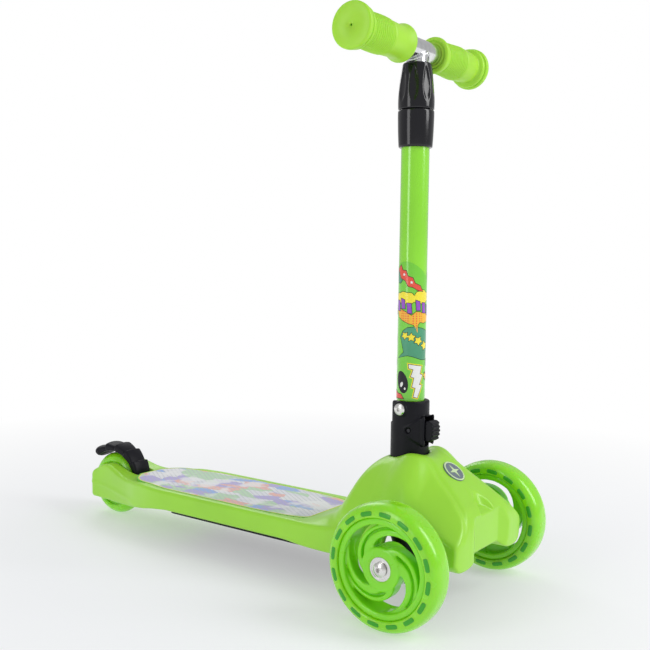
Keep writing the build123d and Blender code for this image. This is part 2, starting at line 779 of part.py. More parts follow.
with BuildPart() as fold_block:
    with BuildSketch(Plane.XY.offset(BLOCK_BASE)):
        with Locations((0, STEM_Y)):
            RectangleRounded(46, 46, 6)
    extrude(amount=BASE_T)
    with BuildSketch(Plane.XY.offset(BLOCK_BASE)):
        with Locations((0, STEM_Y)):
            Circle(BLOCK_R)
    extrude(amount=BLOCK_TOP - BLOCK_BASE)
    fillet(fold_block.edges().group_by(Axis.Z)[-1], 2.0)
    # Bosses for the pivot bolt, and the shoulders beside the thumb button.
    with BuildSketch(side_plane(-BOSS_X, STEM_Y, PIVOT_Z)):
        Circle(BOSS_R)
    extrude(amount=2 * BOSS_X)
    with BuildSketch(Plane.XY.offset(152)):
        with Locations((0, STEM_Y - 16)):
            RectangleRounded(21, 14, 3)
    extrude(amount=30)
    # Well for the stem and the latch.
    with BuildSketch(Plane.XY.offset(WELL_FLOOR)):
        with Locations((0, STEM_Y)):
            Circle(WELL_R)
    extrude(amount=60, mode=Mode.SUBTRACT)
    with BuildSketch(side_plane(-WELL_R, STEM_Y, 173)):
        with Locations((25, 20)):
            Rectangle(50, 40)
    extrude(amount=2 * WELL_R, mode=Mode.SUBTRACT)
    # Front slot for the lever.
    with BuildSketch(side_plane(-SLOT_HALF, STEM_Y, LATCH_Z)):
        with Locations((-20, -1.5)):
            Rectangle(40, 31)
    extrude(amount=2 * SLOT_HALF, mode=Mode.SUBTRACT)
    # Hollow shaft below the well saves weight, as a moulding has it.
    with BuildSketch(Plane.XY.offset(BLOCK_BASE)):
        with Locations((0, STEM_Y)):
            Circle(BLOCK_R - 5)
    extrude(amount=76, mode=Mode.SUBTRACT)
    with BuildSketch(side_plane(-30, STEM_Y, PIVOT_Z)):
        Circle(FOLD_BOLT_R)
    extrude(amount=60, mode=Mode.SUBTRACT)
    with BuildSketch(side_plane(-30, LATCH_Y, LATCH_Z)):
        Circle(PIN_R)
    extrude(amount=60, mode=Mode.SUBTRACT)
    with BuildSketch(Plane.XY.offset(BLOCK_BASE)):
        with Locations(*BLOCK_BOLTS):
            Circle(BLOCK_BOLT_R)
    extrude(amount=20, mode=Mode.SUBTRACT)
save(fold_block, "fold_block")

with BuildPart() as block_bolts:
    for x, y in BLOCK_BOLTS:
        with BuildSketch(Plane.XY.offset(UNDERSIDE - 3)):
            with Locations((x, y)):
                RegularPolygon(4.4, 6)
        extrude(amount=3)
        with BuildSketch(Plane.XY.offset(UNDERSIDE)):
            with Locations((x, y)):
                Circle(BLOCK_BOLT_R)
        extrude(amount=BLOCK_BASE + BASE_T - UNDERSIDE)
save(block_bolts, "block_bolts")

with BuildPart() as fold_bolt:
    with BuildSketch(axle_plane(-BOSS_X, STEM_Y, PIVOT_Z)):
        with BuildLine():
            edge = Polyline((0, 0), (0, 6), (-1.2, 6))
            dome = ThreePointArc(edge @ 1, (-2.4, 3.6), (-2.8, 0))
            Line(dome @ 1, (0, 0))
        make_face()
    revolve(axis=axle_axis(STEM_Y, PIVOT_Z))
    with BuildSketch(side_plane(-BOSS_X, STEM_Y, PIVOT_Z)):
        Circle(FOLD_BOLT_R)
    extrude(amount=2 * BOSS_X + 4.5)
    with BuildSketch(side_plane(-BOSS_X - 4.2, STEM_Y, PIVOT_Z)):
        RegularPolygon(2.4, 6)
    extrude(amount=3.4, mode=Mode.SUBTRACT)
save(fold_bolt, "fold_bolt")

with BuildPart() as fold_nut:
    with BuildSketch(side_plane(BOSS_X, STEM_Y, PIVOT_Z)):
        RegularPolygon(6.6, 6)
        Circle(FOLD_BOLT_R, mode=Mode.SUBTRACT)
    extrude(amount=4.2)
save(fold_nut, "fold_nut")

with BuildPart() as latch_lever:
    with BuildSketch(side_plane(-LATCH_HALF, LATCH_Y, LATCH_Z)):
        with BuildLine():
            Polyline(
                (-14, -6), (-3, -5), (3.5, -3), (4, 3), (2.4, 6.6), (-1, 6.6), (-3, 5), (-14, 7), (-14, -6)
            )
        make_face()
    extrude(amount=2 * LATCH_HALF)
    with BuildSketch(side_plane(-BUTTON_HALF, LATCH_Y, LATCH_Z)):
        with BuildLine():
            low = Polyline((-14, -10.5), (-20, -11.2))
            front = ThreePointArc(low @ 1, (-23.4, 0), (-19.5, 10.3))
            Polyline(front @ 1, (-14, 8.5), (-14, -10.5))
        make_face()
    extrude(amount=2 * BUTTON_HALF)
    for index in range(4):
        with BuildSketch(side_plane(-BUTTON_HALF, LATCH_Y, LATCH_Z)):
            with Locations((-23.6, -6.6 + 3.9 * index)):
                Circle(0.9)
        extrude(amount=2 * BUTTON_HALF, mode=Mode.SUBTRACT)
    with BuildSketch(side_plane(-10, LATCH_Y, LATCH_Z)):
        Circle(PIN_R + RUN)
    extrude(amount=20, mode=Mode.SUBTRACT)
save(latch_lever, "latch_lever")

with BuildPart() as latch_pin:
    with BuildSketch(side_plane(-17.2, LATCH_Y, LATCH_Z)):
        Circle(PIN_R)
    extrude(amount=34.4)
save(latch_pin, "latch_pin")

with BuildPart() as latch_spring:
    with BuildLine():
        coil = Helix(pitch=2.2, height=11, radius=2.6, center=(0, STEM_Y, WELL_FLOOR + 0.7))
    with BuildSketch(Plane(origin=coil @ 0, z_dir=coil % 0)):
        Circle(0.45)
    sweep(is_frenet=True)
save(latch_spring, "latch_spring")


# ===========================================================================================
# Steering stem
# ===========================================================================================
TUBE_IN = TUBE_R - TUBE_WALL

with BuildPart() as stem_knuckle:
    # Ball foot about the pivot, so that it turns inside the block's round well as the stem folds.
    with BuildSketch(post_plane()):
        with BuildLine():
            foot = CenterArc((0, PIVOT_Z), TUBE_R, -90, 90)
            Polyline(
                foot @ 1, (TUBE_R, TUBE_BOTTOM), (TUBE_IN, TUBE_BOTTOM), (TUBE_IN, TUBE_BOTTOM + 22),
                (0, TUBE_BOTTOM + 22), foot @ 0,
            )
        make_face()
    revolve(axis=STEM_AXIS)
    with BuildSketch(side_plane(-20, STEM_Y - 7.0, PIVOT_Z - 13.4)):
        Rectangle(6.5, 6.0)
    extrude(amount=40, mode=Mode.SUBTRACT)
    with BuildSketch(side_plane(-20, STEM_Y, PIVOT_Z)):
        Circle(FOLD_BOLT_R + RUN)
    extrude(amount=40, mode=Mode.SUBTRACT)
    with BuildSketch(side_plane(-20, STEM_Y, RIVET_Z)):
        Circle(PIN_R)
    extrude(amount=40, mode=Mode.SUBTRACT)
save(stem_knuckle, "stem_knuckle")

with BuildPart() as lower_tube:
    with BuildSketch(Plane.XY.offset(TUBE_BOTTOM)):
        with Locations((0, STEM_Y)):
            Circle(TUBE_R)
            Circle(TUBE_IN, mode=Mode.SUBTRACT)
    extrude(amount=TUBE_TOP - TUBE_BOTTOM)
    with BuildSketch(side_plane(-20, STEM_Y, RIVET_Z)):
        Circle(PIN_R)
    extrude(amount=40, mode=Mode.SUBTRACT)
save(lower_tube, "lower_tube")

with BuildPart() as stem_rivet:
    with BuildSketch(side_plane(0.2 - TUBE_R, STEM_Y, RIVET_Z)):
        Circle(PIN_R)
    extrude(amount=2 * TUBE_R - 0.4)
save(stem_rivet, "stem_rivet")

with BuildPart() as tube_decal:
    with BuildSketch(Plane.XY.offset(BLOCK_TOP + GAP)):
        with Locations((0, STEM_Y)):
            Circle(TUBE_R + DECAL_T)
            Circle(TUBE_R, mode=Mode.SUBTRACT)
    extrude(amount=160)
    with BuildSketch(post_plane(STEM_Y - 20)):
        with BuildLine():
            slant = Line((-20, DECAL_TOP + 20 * DECAL_SLOPE), (20, DECAL_TOP - 20 * DECAL_SLOPE))
            Polyline(slant @ 1, (20, 400), (-20, 400), slant @ 0)
        make_face()
    extrude(amount=-40, mode=Mode.SUBTRACT)
save(tube_decal, "tube_decal")

with BuildPart() as collar_sleeve:
    with BuildSketch(post_plane()):
        with BuildLine():
            Polyline(
                (TUBE_R, COLLAR_BOTTOM), (17.0, COLLAR_BOTTOM), (17.4, COLLAR_BOTTOM + 0.8),
                (18.2, COLLAR_TOP - 0.8), (17.6, COLLAR_TOP), (14.0, COLLAR_TOP), (14.0, THREAD_TOP),
                (THREAD_R, THREAD_TOP), (THREAD_R, TUBE_TOP), (TUBE_R, TUBE_TOP), (TUBE_R, COLLAR_BOTTOM),
            )
        make_face()
    revolve(axis=STEM_AXIS)
save(collar_sleeve, "collar_sleeve")

with BuildPart() as clamp_collet:
    with BuildSketch(post_plane()):
        with BuildLine():
            Polyline(
                (BAR_R + RUN, COLLET_BOTTOM), (THREAD_R, COLLET_BOTTOM), (THREAD_R, THREAD_TOP),
                (13.4, THREAD_TOP), (13.4, 509), (12.3, COLLET_TOP), (BAR_R + RUN, COLLET_TOP),
                (BAR_R + RUN, COLLET_BOTTOM),
            )
        make_face()
    revolve(axis=STEM_AXIS)
    with BuildSketch(Plane.XY.offset(507)):
        with Locations((0, STEM_Y)):
            for angle in (0, 90):
                Rectangle(30, 1.2, rotation=angle)
    extrude(amount=30, mode=Mode.SUBTRACT)
save(clamp_collet, "clamp_collet")

with BuildPart() as twist_nut:
    with BuildSketch(post_plane()):
        with BuildLine():
            foot = Polyline(
                (14.4, COLLAR_TOP + GAP), (17.7, COLLAR_TOP + GAP), (NUT_R, COLLAR_TOP + 1.2), (NUT_R, 500)
            )
            taper = Spline(foot @ 1, (17.2, 515), (15.2, NUT_TOP - 1.2), tangents=((0, 1), (-0.1, 1)))
            Polyline(
                taper @ 1, (14.6, NUT_TOP), (BAR_R + 0.5, NUT_TOP), (BAR_R + 0.5, 529), (12.8, 527.5),
                (13.9, 509), (14.4, 507.5), (14.4, COLLAR_TOP + GAP),
            )
        make_face()
    revolve(axis=STEM_AXIS)
    # Long grip flutes.
    with BuildPart(mode=Mode.PRIVATE) as flute:
        with Locations((20.6, STEM_Y, 512)):
            Cylinder(4.2, 30)
    for index in range(FLUTES):
        add(flute.part.rotate(STEM_AXIS, (index + 0.5) * 360 / FLUTES), mode=Mode.SUBTRACT)
save(twist_nut, "twist_nut")

with BuildPart() as guide_bush:
    with BuildSketch(Plane.XY.offset(450)):
        with Locations((0, STEM_Y)):
            Circle(TUBE_IN)
            Circle(BAR_R + RUN, mode=Mode.SUBTRACT)
    extrude(amount=30)
save(guide_bush, "guide_bush")


# ===========================================================================================
# Telescoping T-bar and grips
# ===========================================================================================
with BuildPart() as upper_tube:
    with BuildSketch(Plane.XY.offset(INNER_TUBE_BOTTOM)):
        with Locations((0, STEM_Y)):
            Circle(BAR_R)
            Circle(BAR_R - BAR_WALL, mode=Mode.SUBTRACT)
    extrude(amount=BAR_Z - INNER_TUBE_BOTTOM)
    with BuildSketch(side_plane(-40, STEM_Y, BAR_Z)):
        Circle(BAR_R)
    extrude(amount=80, mode=Mode.SUBTRACT)
save(upper_tube, "upper_tube")

with BuildPart() as tube_foot:
    with BuildSketch(post_plane()):
        with BuildLine():
            Polyline(
                (0, INNER_TUBE_BOTTOM - 5), (TUBE_IN - 0.4, INNER_TUBE_BOTTOM - 5),
                (TUBE_IN - 0.4, INNER_TUBE_BOTTOM), (BAR_R - BAR_WALL, INNER_TUBE_BOTTOM),
                (BAR_R - BAR_WALL, INNER_TUBE_BOTTOM + 14), (0, INNER_TUBE_BOTTOM + 14),
                (0, INNER_TUBE_BOTTOM - 5),
            )
        make_face()
    revolve(axis=STEM_AXIS)
save(tube_foot, "tube_foot")

with BuildPart() as crossbar:
    with BuildSketch(side_plane(-BAR_END, STEM_Y, BAR_Z)):
        Circle(BAR_R)
        Circle(BAR_R - BAR_WALL, mode=Mode.SUBTRACT)
    extrude(amount=2 * BAR_END)
save(crossbar, "crossbar")

for name, side in SIDES:
    with BuildPart() as grip:
        with BuildSketch(axle_plane(0, STEM_Y, BAR_Z)):
            with BuildLine():
                flange = Polyline(
                    (GRIP_START, BAR_R), (GRIP_START, 17.0), (GRIP_START + 1.4, 18.4),
                    (GRIP_START + 4.2, 18.4), (GRIP_START + 5.6, 16.0),
                )
                barrel = Spline(flange @ 1, (62, 16.6), (80, 17.4), (104, 15.6))
                end = Polyline(
                    barrel @ 1, (105, 19.6), (109, 20.4), (110, 17.2), (111.4, 17.2), (112.2, FLANGE_R),
                    (116, FLANGE_R), (GRIP_END, FLANGE_R - 1.2),
                )
                Polyline(end @ 1, (GRIP_END, 1.2), (BAR_END, 1.2), (BAR_END, BAR_R), (GRIP_START, BAR_R))
            make_face()
            if side < 0:
                mirror(about=Plane.YZ, mode=Mode.REPLACE)
        revolve(axis=axle_axis(STEM_Y, BAR_Z))
    save(grip, f"grip_{name}")
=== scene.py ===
"""Looks of the children's three-wheeled kick scooter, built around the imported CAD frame."""

import json
import math

import bmesh
import bpy
import numpy as np
from mathutils import Matrix, Vector


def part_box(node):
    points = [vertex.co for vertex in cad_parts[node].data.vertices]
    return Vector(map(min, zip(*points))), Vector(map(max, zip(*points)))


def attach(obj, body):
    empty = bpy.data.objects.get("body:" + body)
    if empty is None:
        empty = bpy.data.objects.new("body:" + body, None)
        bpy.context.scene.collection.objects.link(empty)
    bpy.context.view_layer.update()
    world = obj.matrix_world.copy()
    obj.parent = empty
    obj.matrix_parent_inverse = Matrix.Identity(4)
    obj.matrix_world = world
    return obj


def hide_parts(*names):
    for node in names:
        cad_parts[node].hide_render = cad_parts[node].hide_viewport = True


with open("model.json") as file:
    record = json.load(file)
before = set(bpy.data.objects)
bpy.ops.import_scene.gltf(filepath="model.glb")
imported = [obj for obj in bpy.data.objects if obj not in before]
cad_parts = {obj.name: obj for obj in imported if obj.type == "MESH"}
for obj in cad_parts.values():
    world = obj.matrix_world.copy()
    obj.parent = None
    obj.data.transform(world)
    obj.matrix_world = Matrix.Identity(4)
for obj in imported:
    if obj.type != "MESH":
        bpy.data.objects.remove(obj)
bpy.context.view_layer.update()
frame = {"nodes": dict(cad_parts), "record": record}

MM = 0.001
SIDES = (("right", -1), ("left", 1))

# Axes and centres of the frame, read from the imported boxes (metres).
WHEEL = {name: [(a + b) / 2 for a, b in zip(*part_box(f"front_tyre_{name}"))] for name, _ in SIDES}
REAR = [(a + b) / 2 for a, b in zip(*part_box("rear_tyre"))]
STEM = [(a + b) / 2 for a, b in zip(*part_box("lower_tube"))]
BAR = [(a + b) / 2 for a, b in zip(*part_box("crossbar"))]
FRONT_Y = WHEEL["right"][1] / MM
FRONT_R = WHEEL["right"][2] / MM
REAR_Y = REAR[1] / MM
REAR_R = REAR[2] / MM
STEM_Y = STEM[1] / MM
BAR_Z = BAR[2] / MM


# ---- Camera, floor and light ----
CAMERA_PLACE = (-0.7973, -0.6668, 0.3399)
CAMERA_ANGLES = (-53.7, 4.18, 0.73)
CAMERA_LENS = 50.13
WORLD_LIGHT = 0.50
FLOOR_HALF = 14.0
FLOOR_COLOUR = (0.92, 0.94, 0.98, 1)
# The floor's own glow beneath the object, and the distances over which it fades to full white.
FLOOR_GLOW = 0.35
FLOOR_FADE = (0.25, 1.0)
# Soft lights: name, place, what it points at, size (metres) and power (watts).
LIGHTS = (
    ("key", (0.6, -2.0, 1.5), (0, -0.1, 0.25), (0.8, 1.8), 26),
    ("fill", (-2.1, 0.45, 1.0), (0, 0, 0.25), (0.7, 1.7), 11),
    ("rim", (1.2, 1.6, 1.6), (0, 0, 0.25), (1.2, 1.2), 8),
)


def add_camera():
    """Camera from its place and its azimuth, elevation and roll."""
    azimuth, elevation, roll = [math.radians(angle) for angle in CAMERA_ANGLES]
    back = Vector((
        math.sin(azimuth) * math.cos(elevation),
        -math.cos(azimuth) * math.cos(elevation),
        math.sin(elevation),
    ))
    right = (-back).cross(Vector((0, 0, 1))).normalized()
    up = right.cross(-back).normalized()
    turned_right = right * math.cos(roll) + up * math.sin(roll)
    turned_up = -right * math.sin(roll) + up * math.cos(roll)
    data = bpy.data.cameras.new("camera")
    data.lens = CAMERA_LENS
    data.sensor_width = 36.0
    data.clip_end = 50.0
    camera = bpy.data.objects.new("camera", data)
    rotation = Matrix((turned_right, turned_up, back)).transposed().to_4x4()
    camera.matrix_world = Matrix.Translation(CAMERA_PLACE) @ rotation
    bpy.context.scene.collection.objects.link(camera)
    bpy.context.scene.camera = camera


def area_light(name, place, target, size, power):
    data = bpy.data.lights.new(name, "AREA")
    data.shape = "RECTANGLE"
    data.size, data.size_y = size
    data.energy = power
    light = bpy.data.objects.new(name, data)
    light.location = place
    light.rotation_euler = (Vector(target) - Vector(place)).to_track_quat("-Z", "Y").to_euler()
    bpy.context.scene.collection.objects.link(light)


def add_world():
    """White surround: it looks full white and lights the scene at a lower strength."""
    world = bpy.data.worlds.new("studio")
    world.use_nodes = True
    bpy.context.scene.world = world
    tree = world.node_tree
    background = tree.nodes["Background"]
    background.inputs["Color"].default_value = (1.0, 1.0, 1.0, 1)
    seen = node(tree, "LightPath").outputs["Is Camera Ray"]
    tree.links.new(spread(tree, seen, WORLD_LIGHT, 1.0, 0.0, 1.0), background.inputs["Strength"])


def add_floor():
    """Plain pale floor that fades into the surround; it is clear from below, to show the underside."""
    bm = bmesh.new()
    bmesh.ops.create_grid(bm, x_segments=4, y_segments=4, size=FLOOR_HALF)
    mesh = bpy.data.meshes.new("floor")
    bm.to_mesh(mesh)
    bm.free()
    floor = bpy.data.objects.new("floor", mesh)
    bpy.context.scene.collection.objects.link(floor)
    mat, tree, shader = new_material("floor_paper")
    feed(tree, shader, {"Base Color": FLOOR_COLOUR, "Roughness": 0.6, "Specular IOR Level": 0.2})
    place = own_place(tree)
    far = node(tree, "VectorMath", {0: place}, operation="LENGTH").outputs["Value"]
    glow = node(tree, "Emission", {"Color": (1, 1, 1, 1), "Strength": 1.0})
    fade = spread(tree, far, FLOOR_GLOW, 1.0, *FLOOR_FADE)
    blend = node(tree, "MixShader", {0: fade, 1: shader.outputs[0], 2: glow.outputs[0]})
    clear = node(tree, "BsdfTransparent")
    below = node(tree, "NewGeometry").outputs["Backfacing"]
    shown = node(tree, "MixShader", {0: below, 1: blend.outputs[0], 2: clear.outputs[0]})
    feed(tree, tree.nodes["Material Output"], {"Surface": shown.outputs[0]})
    floor.data.materials.append(mat)


def add_stage():
    """White studio: surround, floor and three soft lights."""
    add_world()
    add_floor()
    for light in LIGHTS:
        area_light(*light)
    bpy.context.scene.view_settings.view_transform = "Standard"


# ---- Materials ----
def new_material(name):
    mat = bpy.data.materials.new(name)
    mat.use_nodes = True
    tree = mat.node_tree
    return mat, tree, tree.nodes["Principled BSDF"]


def feed(tree, target, inputs):
    """Links each input to its socket, or sets its value."""
    for key, value in inputs.items():
        if isinstance(value, bpy.types.NodeSocket):
            tree.links.new(value, target.inputs[key])
        else:
            target.inputs[key].default_value = value


def node(tree, kind, inputs=(), **settings):
    """A node with its settings, and its inputs set to values or linked to sockets."""
    made = tree.nodes.new(f"ShaderNode{kind}")
    for key, value in settings.items():
        setattr(made, key, value)
    feed(tree, made, dict(inputs))
    return made


def own_place(tree):
    """Places in the object's own metres."""
    return node(tree, "TexCoord").outputs["Object"]


def noise(tree, scale, detail=3.0):
    made = node(tree, "TexNoise", {"Vector": own_place(tree), "Scale": scale, "Detail": detail})
    return made.outputs["Fac"]


def spread(tree, factor, low, high, start=0.3, stop=0.7):
    """Maps a factor's start..stop onto low..high."""
    return node(tree, "MapRange", {
        "Value": factor, "From Min": start, "From Max": stop, "To Min": low, "To Max": high,
    }).outputs["Result"]


def mixed(tree, factor, first, second):
    """Colour between two colours or colour sockets."""
    made = node(tree, "Mix", data_type="RGBA")
    tree.links.new(factor, made.inputs["Factor"])
    for socket, value in (("A", first), ("B", second)):
        target = [s for s in made.inputs if s.name == socket and s.type == "RGBA"][0]
        if isinstance(value, bpy.types.NodeSocket):
            tree.links.new(value, target)
        else:
            target.default_value = (*value, 1)
    return [s for s in made.outputs if s.type == "RGBA"][0]


def bump(tree, shader, height, strength, distance):
    made = node(tree, "Bump", {"Height": height, "Strength": strength, "Distance": distance})
    tree.links.new(made.outputs["Normal"], shader.inputs["Normal"])


def moulded(name, colour, rough, grain=900.0, depth=0.12, coat=0.0, tint=0.05, soft=0.0, specular=0.5):
    """Moulded plastic, rubber or paint: faint colour drift, uneven gloss and a fine surface grain."""
    mat, tree, shader = new_material(name)
    drift = spread(tree, noise(tree, 14.0), 0.0, 1.0)
    dark = tuple(c * (1 - tint) for c in colour)
    light = tuple(min(1.0, c * (1 + tint)) for c in colour)
    gloss = spread(tree, noise(tree, 55.0), rough * 0.85, rough * 1.18)
    base = mixed(tree, drift, dark, light)
    feed(tree, shader, {"Base Color": base, "Roughness": gloss, "Specular IOR Level": specular})
    bump(tree, shader, noise(tree, grain, 2.0), depth, 0.0002)
    if coat:
        feed(tree, shader, {"Coat Weight": coat, "Coat Roughness": 0.08})
    if soft:
        feed(tree, shader, {
            "Subsurface Weight": soft, "Subsurface Radius": (0.6, 1.0, 0.1), "Subsurface Scale": 0.006,
        })
    return mat


def printed(name, colour, tint=0.05):
    """Glossy ink of one colour."""
    return moulded(f"print_{name}", colour, 0.25, depth=0.03, coat=0.4, tint=tint)


def metal(name, colour, rough, brushed=0.0):
    """Bare or plated metal with fine drawing lines or a soft cloudy finish."""
    mat, tree, shader = new_material(name)
    cloud = spread(tree, noise(tree, 120.0, 5.0), 0.0, 1.0)
    dark = tuple(c * 0.86 for c in colour)
    base = mixed(tree, cloud, dark, colour)
    gloss = spread(tree, noise(tree, 300.0, 4.0), rough * 0.7, rough * 1.4)
    feed(tree, shader, {"Base Color": base, "Metallic": 1.0, "Roughness": gloss})
    if brushed:
        place = own_place(tree)
        stretch = node(tree, "VectorMath", {0: place, 1: (20, 900, 900)}, operation="MULTIPLY")
        lines = node(tree, "TexNoise", {"Vector": stretch.outputs[0], "Scale": 1.0, "Detail": 2.0})
        bump(tree, shader, lines.outputs["Fac"], brushed, 0.0001)
    return mat


# ---- Mesh tools ----
CURVE_STEPS = 600
RELAX_TURNS = 2
SETTLE_TURNS = 3


def link_mesh(name, points, faces, body, material, replaces=(), smooth=True):
    """Makes a piece from points in millimetres, gives it its finish and rides it on its body."""
    mesh = bpy.data.meshes.new(name)
    mesh.from_pydata([tuple(c * MM for c in p) for p in points], [], [tuple(f) for f in faces])
    mesh.validate()
    if smooth:
        mesh.polygons.foreach_set("use_smooth", [True] * len(mesh.polygons))
    mesh.materials.append(material)
    piece = bpy.data.objects.new(name, mesh)
    bpy.context.scene.collection.objects.link(piece)
    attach(piece, body)
    if replaces:
        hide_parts(*replaces)


def field_piece(name, field, low, high, step, body, material, replaces):
    """A piece whose surface is the zero level of a field given in millimetres."""
    points, quads = level_mesh(field, low, high, step)
    link_mesh(name, points, quads, body, material, replaces)


def smin(a, b, k):
    """Union of two fields with a fillet of about k."""
    h = np.clip(0.5 + 0.5 * (b - a) / k, 0, 1)
    return b + (a - b) * h - k * h * (1 - h)


def smax(a, b, k):
    """Overlap of two fields with a rounded edge of about k."""
    return -smin(-a, -b, k)


def curve(*points):
    """Smooth function through (t, value) points, flat past its ends."""
    t = np.array([p[0] for p in points], float)
    v = np.array([p[1] for p in points], float)
    slope = np.gradient(v, t)
    step = np.diff(v) / np.diff(t)
    for i in range(len(t)):
        sides = step[max(i - 1, 0):i + 1]
        if sides.min() * sides.max() <= 0:
            slope[i] = 0
        else:
            slope[i] = np.sign(slope[i]) * min(abs(slope[i]), 2.5 * abs(sides).min())
    dense = np.linspace(t[0], t[-1], CURVE_STEPS)
    cell = np.clip(np.searchsorted(t, dense) - 1, 0, len(t) - 2)
    width = t[cell + 1] - t[cell]
    s = (dense - t[cell]) / width
    value = ((2 * s**3 - 3 * s**2 + 1) * v[cell] + (s**3 - 2 * s**2 + s) * width * slope[cell]
             + (3 * s**2 - 2 * s**3) * v[cell + 1] + (s**3 - s**2) * width * slope[cell + 1])
    return lambda q: np.interp(q, dense, value)


def mirrored(p, y=0.0, z=0.0):
    """Distance from the middle plane, and y and z from a centre, for an array of points."""
    return np.abs(p[..., 0]), p[..., 1] - y, p[..., 2] - z


def rounded_box(p, centre, half, radius):
    q = np.abs(p - np.array(centre)) - np.array(half) + radius
    return np.linalg.norm(np.maximum(q, 0), axis=-1) + np.minimum(q.max(-1), 0) - radius


def level_mesh(field, low, high, step):
    """Points and quads of a field's zero level, by surface nets, then drawn onto the level."""
    low = np.array(low, float)
    axes = [np.arange(a, b + step, step) for a, b in zip(low, high)]
    value = field(np.stack(np.meshgrid(*axes, indexing="ij"), -1))
    n = np.array(value.shape) - 1
    total = np.zeros((*n, 3))
    count = np.zeros(n)
    for axis in range(3):
        others = [a for a in range(3) if a != axis]
        for corner in ((0, 0), (0, 1), (1, 0), (1, 1)):
            start = [0, 0, 0]
            start[others[0]], start[others[1]] = corner
            stop = list(start)
            stop[axis] = 1
            a = value[tuple(slice(s, s + m) for s, m in zip(start, n))]
            b = value[tuple(slice(s, s + m) for s, m in zip(stop, n))]
            cross = (a < 0) != (b < 0)
            t = np.where(cross, a / np.where(cross, a - b, 1), 0)
            for d in range(3):
                total[..., d] += cross * (t if d == axis else start[d])
            count += cross
    cells = count > 0
    index = -np.ones(n, int)
    index[cells] = np.arange(cells.sum())
    points = low + step * (np.argwhere(cells) + total[cells] / count[cells][:, None])
    quads = []
    for axis in range(3):
        b, c = (axis + 1) % 3, (axis + 2) % 3
        lower, upper = [None] * 3, [None] * 3
        lower[axis], upper[axis] = slice(0, n[axis]), slice(1, n[axis] + 1)
        lower[b] = upper[b] = slice(1, n[b])
        lower[c] = upper[c] = slice(1, n[c])
        inside = value[tuple(lower)] < 0
        where = np.argwhere(inside != (value[tuple(upper)] < 0))
        outward = inside[tuple(where.T)]
        where[:, b] += 1
        where[:, c] += 1
        eb, ec = np.zeros(3, int), np.zeros(3, int)
        eb[b], ec[c] = 1, 1
        ring = [index[tuple((where - shift).T)] for shift in (eb + ec, ec, 0, eb)]
        quad = np.stack(ring, -1)
        quad[~outward] = quad[~outward][:, ::-1]
        quads.append(quad)
    quads = np.concatenate(quads)
    for turn in range(RELAX_TURNS + SETTLE_TURNS):
        if turn < RELAX_TURNS:
            sums = np.zeros_like(points)
            hits = np.zeros(len(points))
            for i in range(4):
                for j in (1, 3):
                    np.add.at(sums, quads[:, i], points[quads[:, (i + j) % 4]])
                    np.add.at(hits, quads[:, i], 1)
            points = points + 0.6 * (sums / hits[:, None] - points)
        here = field(points)
        h = 0.05 * step
        steps = [(field(points + h * e) - field(points - h * e)) / (2 * h) for e in np.eye(3)]
        grad = np.stack(steps, -1)
        move = -here[:, None] * grad / np.maximum((grad**2).sum(-1), 0.05)[:, None]
        length = np.linalg.norm(move, axis=-1)
        move *= np.minimum(1, 0.5 * step / np.maximum(length, 1e-9))[:, None]
        points = points + move
    return points, quads


def lathe(profile, segments=96):
    """Points and faces of a closed profile of (along, radius) turned about local X."""
    points, faces = [], []
    rows = len(profile)
    for i in range(segments):
        a = 2 * math.pi * i / segments
        for along, radius in profile:
            points.append((along, radius * math.cos(a), radius * math.sin(a)))
    for i in range(segments):
        this, following = i * rows, ((i + 1) % segments) * rows
        for j in range(rows):
            k = (j + 1) % rows
            faces.append((this + j, this + k, following + k, following + j))
    return points, faces


# ---- Deck and hood ----
HOOD_FRONT = -287.0
HOOD_NOSE = curve(
    (-292, 74), (-288, 84), (-285, 91), (-280, 98.5), (-270, 108), (-244, 128), (-226, 141),
    (-218, 142.4), (-211, 142.2), (-203, 141.5), (-190, 141), (-176, 139.3), (-167, 135),
    (-159, 127.8), (-153, 119.5), (-147.5, 110), (-140, 96), (-133, 86), (-124, 78), (-113, 71.5),
    (-98, 61.5), (-82, 51), (-60, 38),
)
HOOD_FLANK = curve(
    (30, 70.6), (82, 70.6), (91, 67.5), (103, 61.5), (115, 54.5), (124.5, 46.5), (134, 35.5),
    (141, 25), (148, 8), (152, 0),
)
HOOD_NARROW = curve((-290, 0), (-226, 0), (-200, 2.5), (-165, 8), (-130, 13), (-100, 15), (-60, 16))
NOSE_CROWN = curve(
    (-290, 0), (-244, 0), (-230, -0.002), (-219, -0.0095), (-206, -0.0105), (-196, -0.006),
    (-184, 0), (-150, 0.002),
)
SHOULDER_BLEND = curve((-240, 20), (-215, 8), (-195, 7), (-168, 9), (-148, 18), (-130, 24))
LIP_RISE = curve((-262, 0), (-232, 5), (-219, 9), (-205, 8), (-192, 2), (-180, 0))
FRONT_LEAN = curve((44, 1.4), (60, 0.6), (76, 0), (86, 1.2), (100, 6), (120, 16))
LOBE_BOTTOM = curve(
    (0, 60), (24, 59.7), (27, 58), (33, 53.5), (40, 50.7), (50, 49.5), (58, 49.7), (65, 52),
    (71, 57.5),
)
# How far the hood's lower edge sinks towards the rear: (y, drop).
EDGE_DROP = ((-287, 0), (-262, 0), (-240, 1), (-200, 6), (-120, 9))
DECK_HALF_LINE = curve(
    (-230, 57), (-150, 59.5), (110, 60), (140, 57.5), (170, 50.5), (200, 40.5), (230, 33),
    (258, 29), (283, 28),
)
DECK_TOP_LINE = curve(
    (-200, 63.5), (150, 63.5), (175, 61.5), (194, 60), (215, 62), (232, 67), (244, 70),
    (256, 68.5), (268, 62.5), (282, 55),
)
DECK_BOTTOM_LINE = curve(
    (-200, 41), (-135, 40.6), (105, 40), (130, 37.5), (193, 26.8), (240, 23.4), (280, 23.2),
)
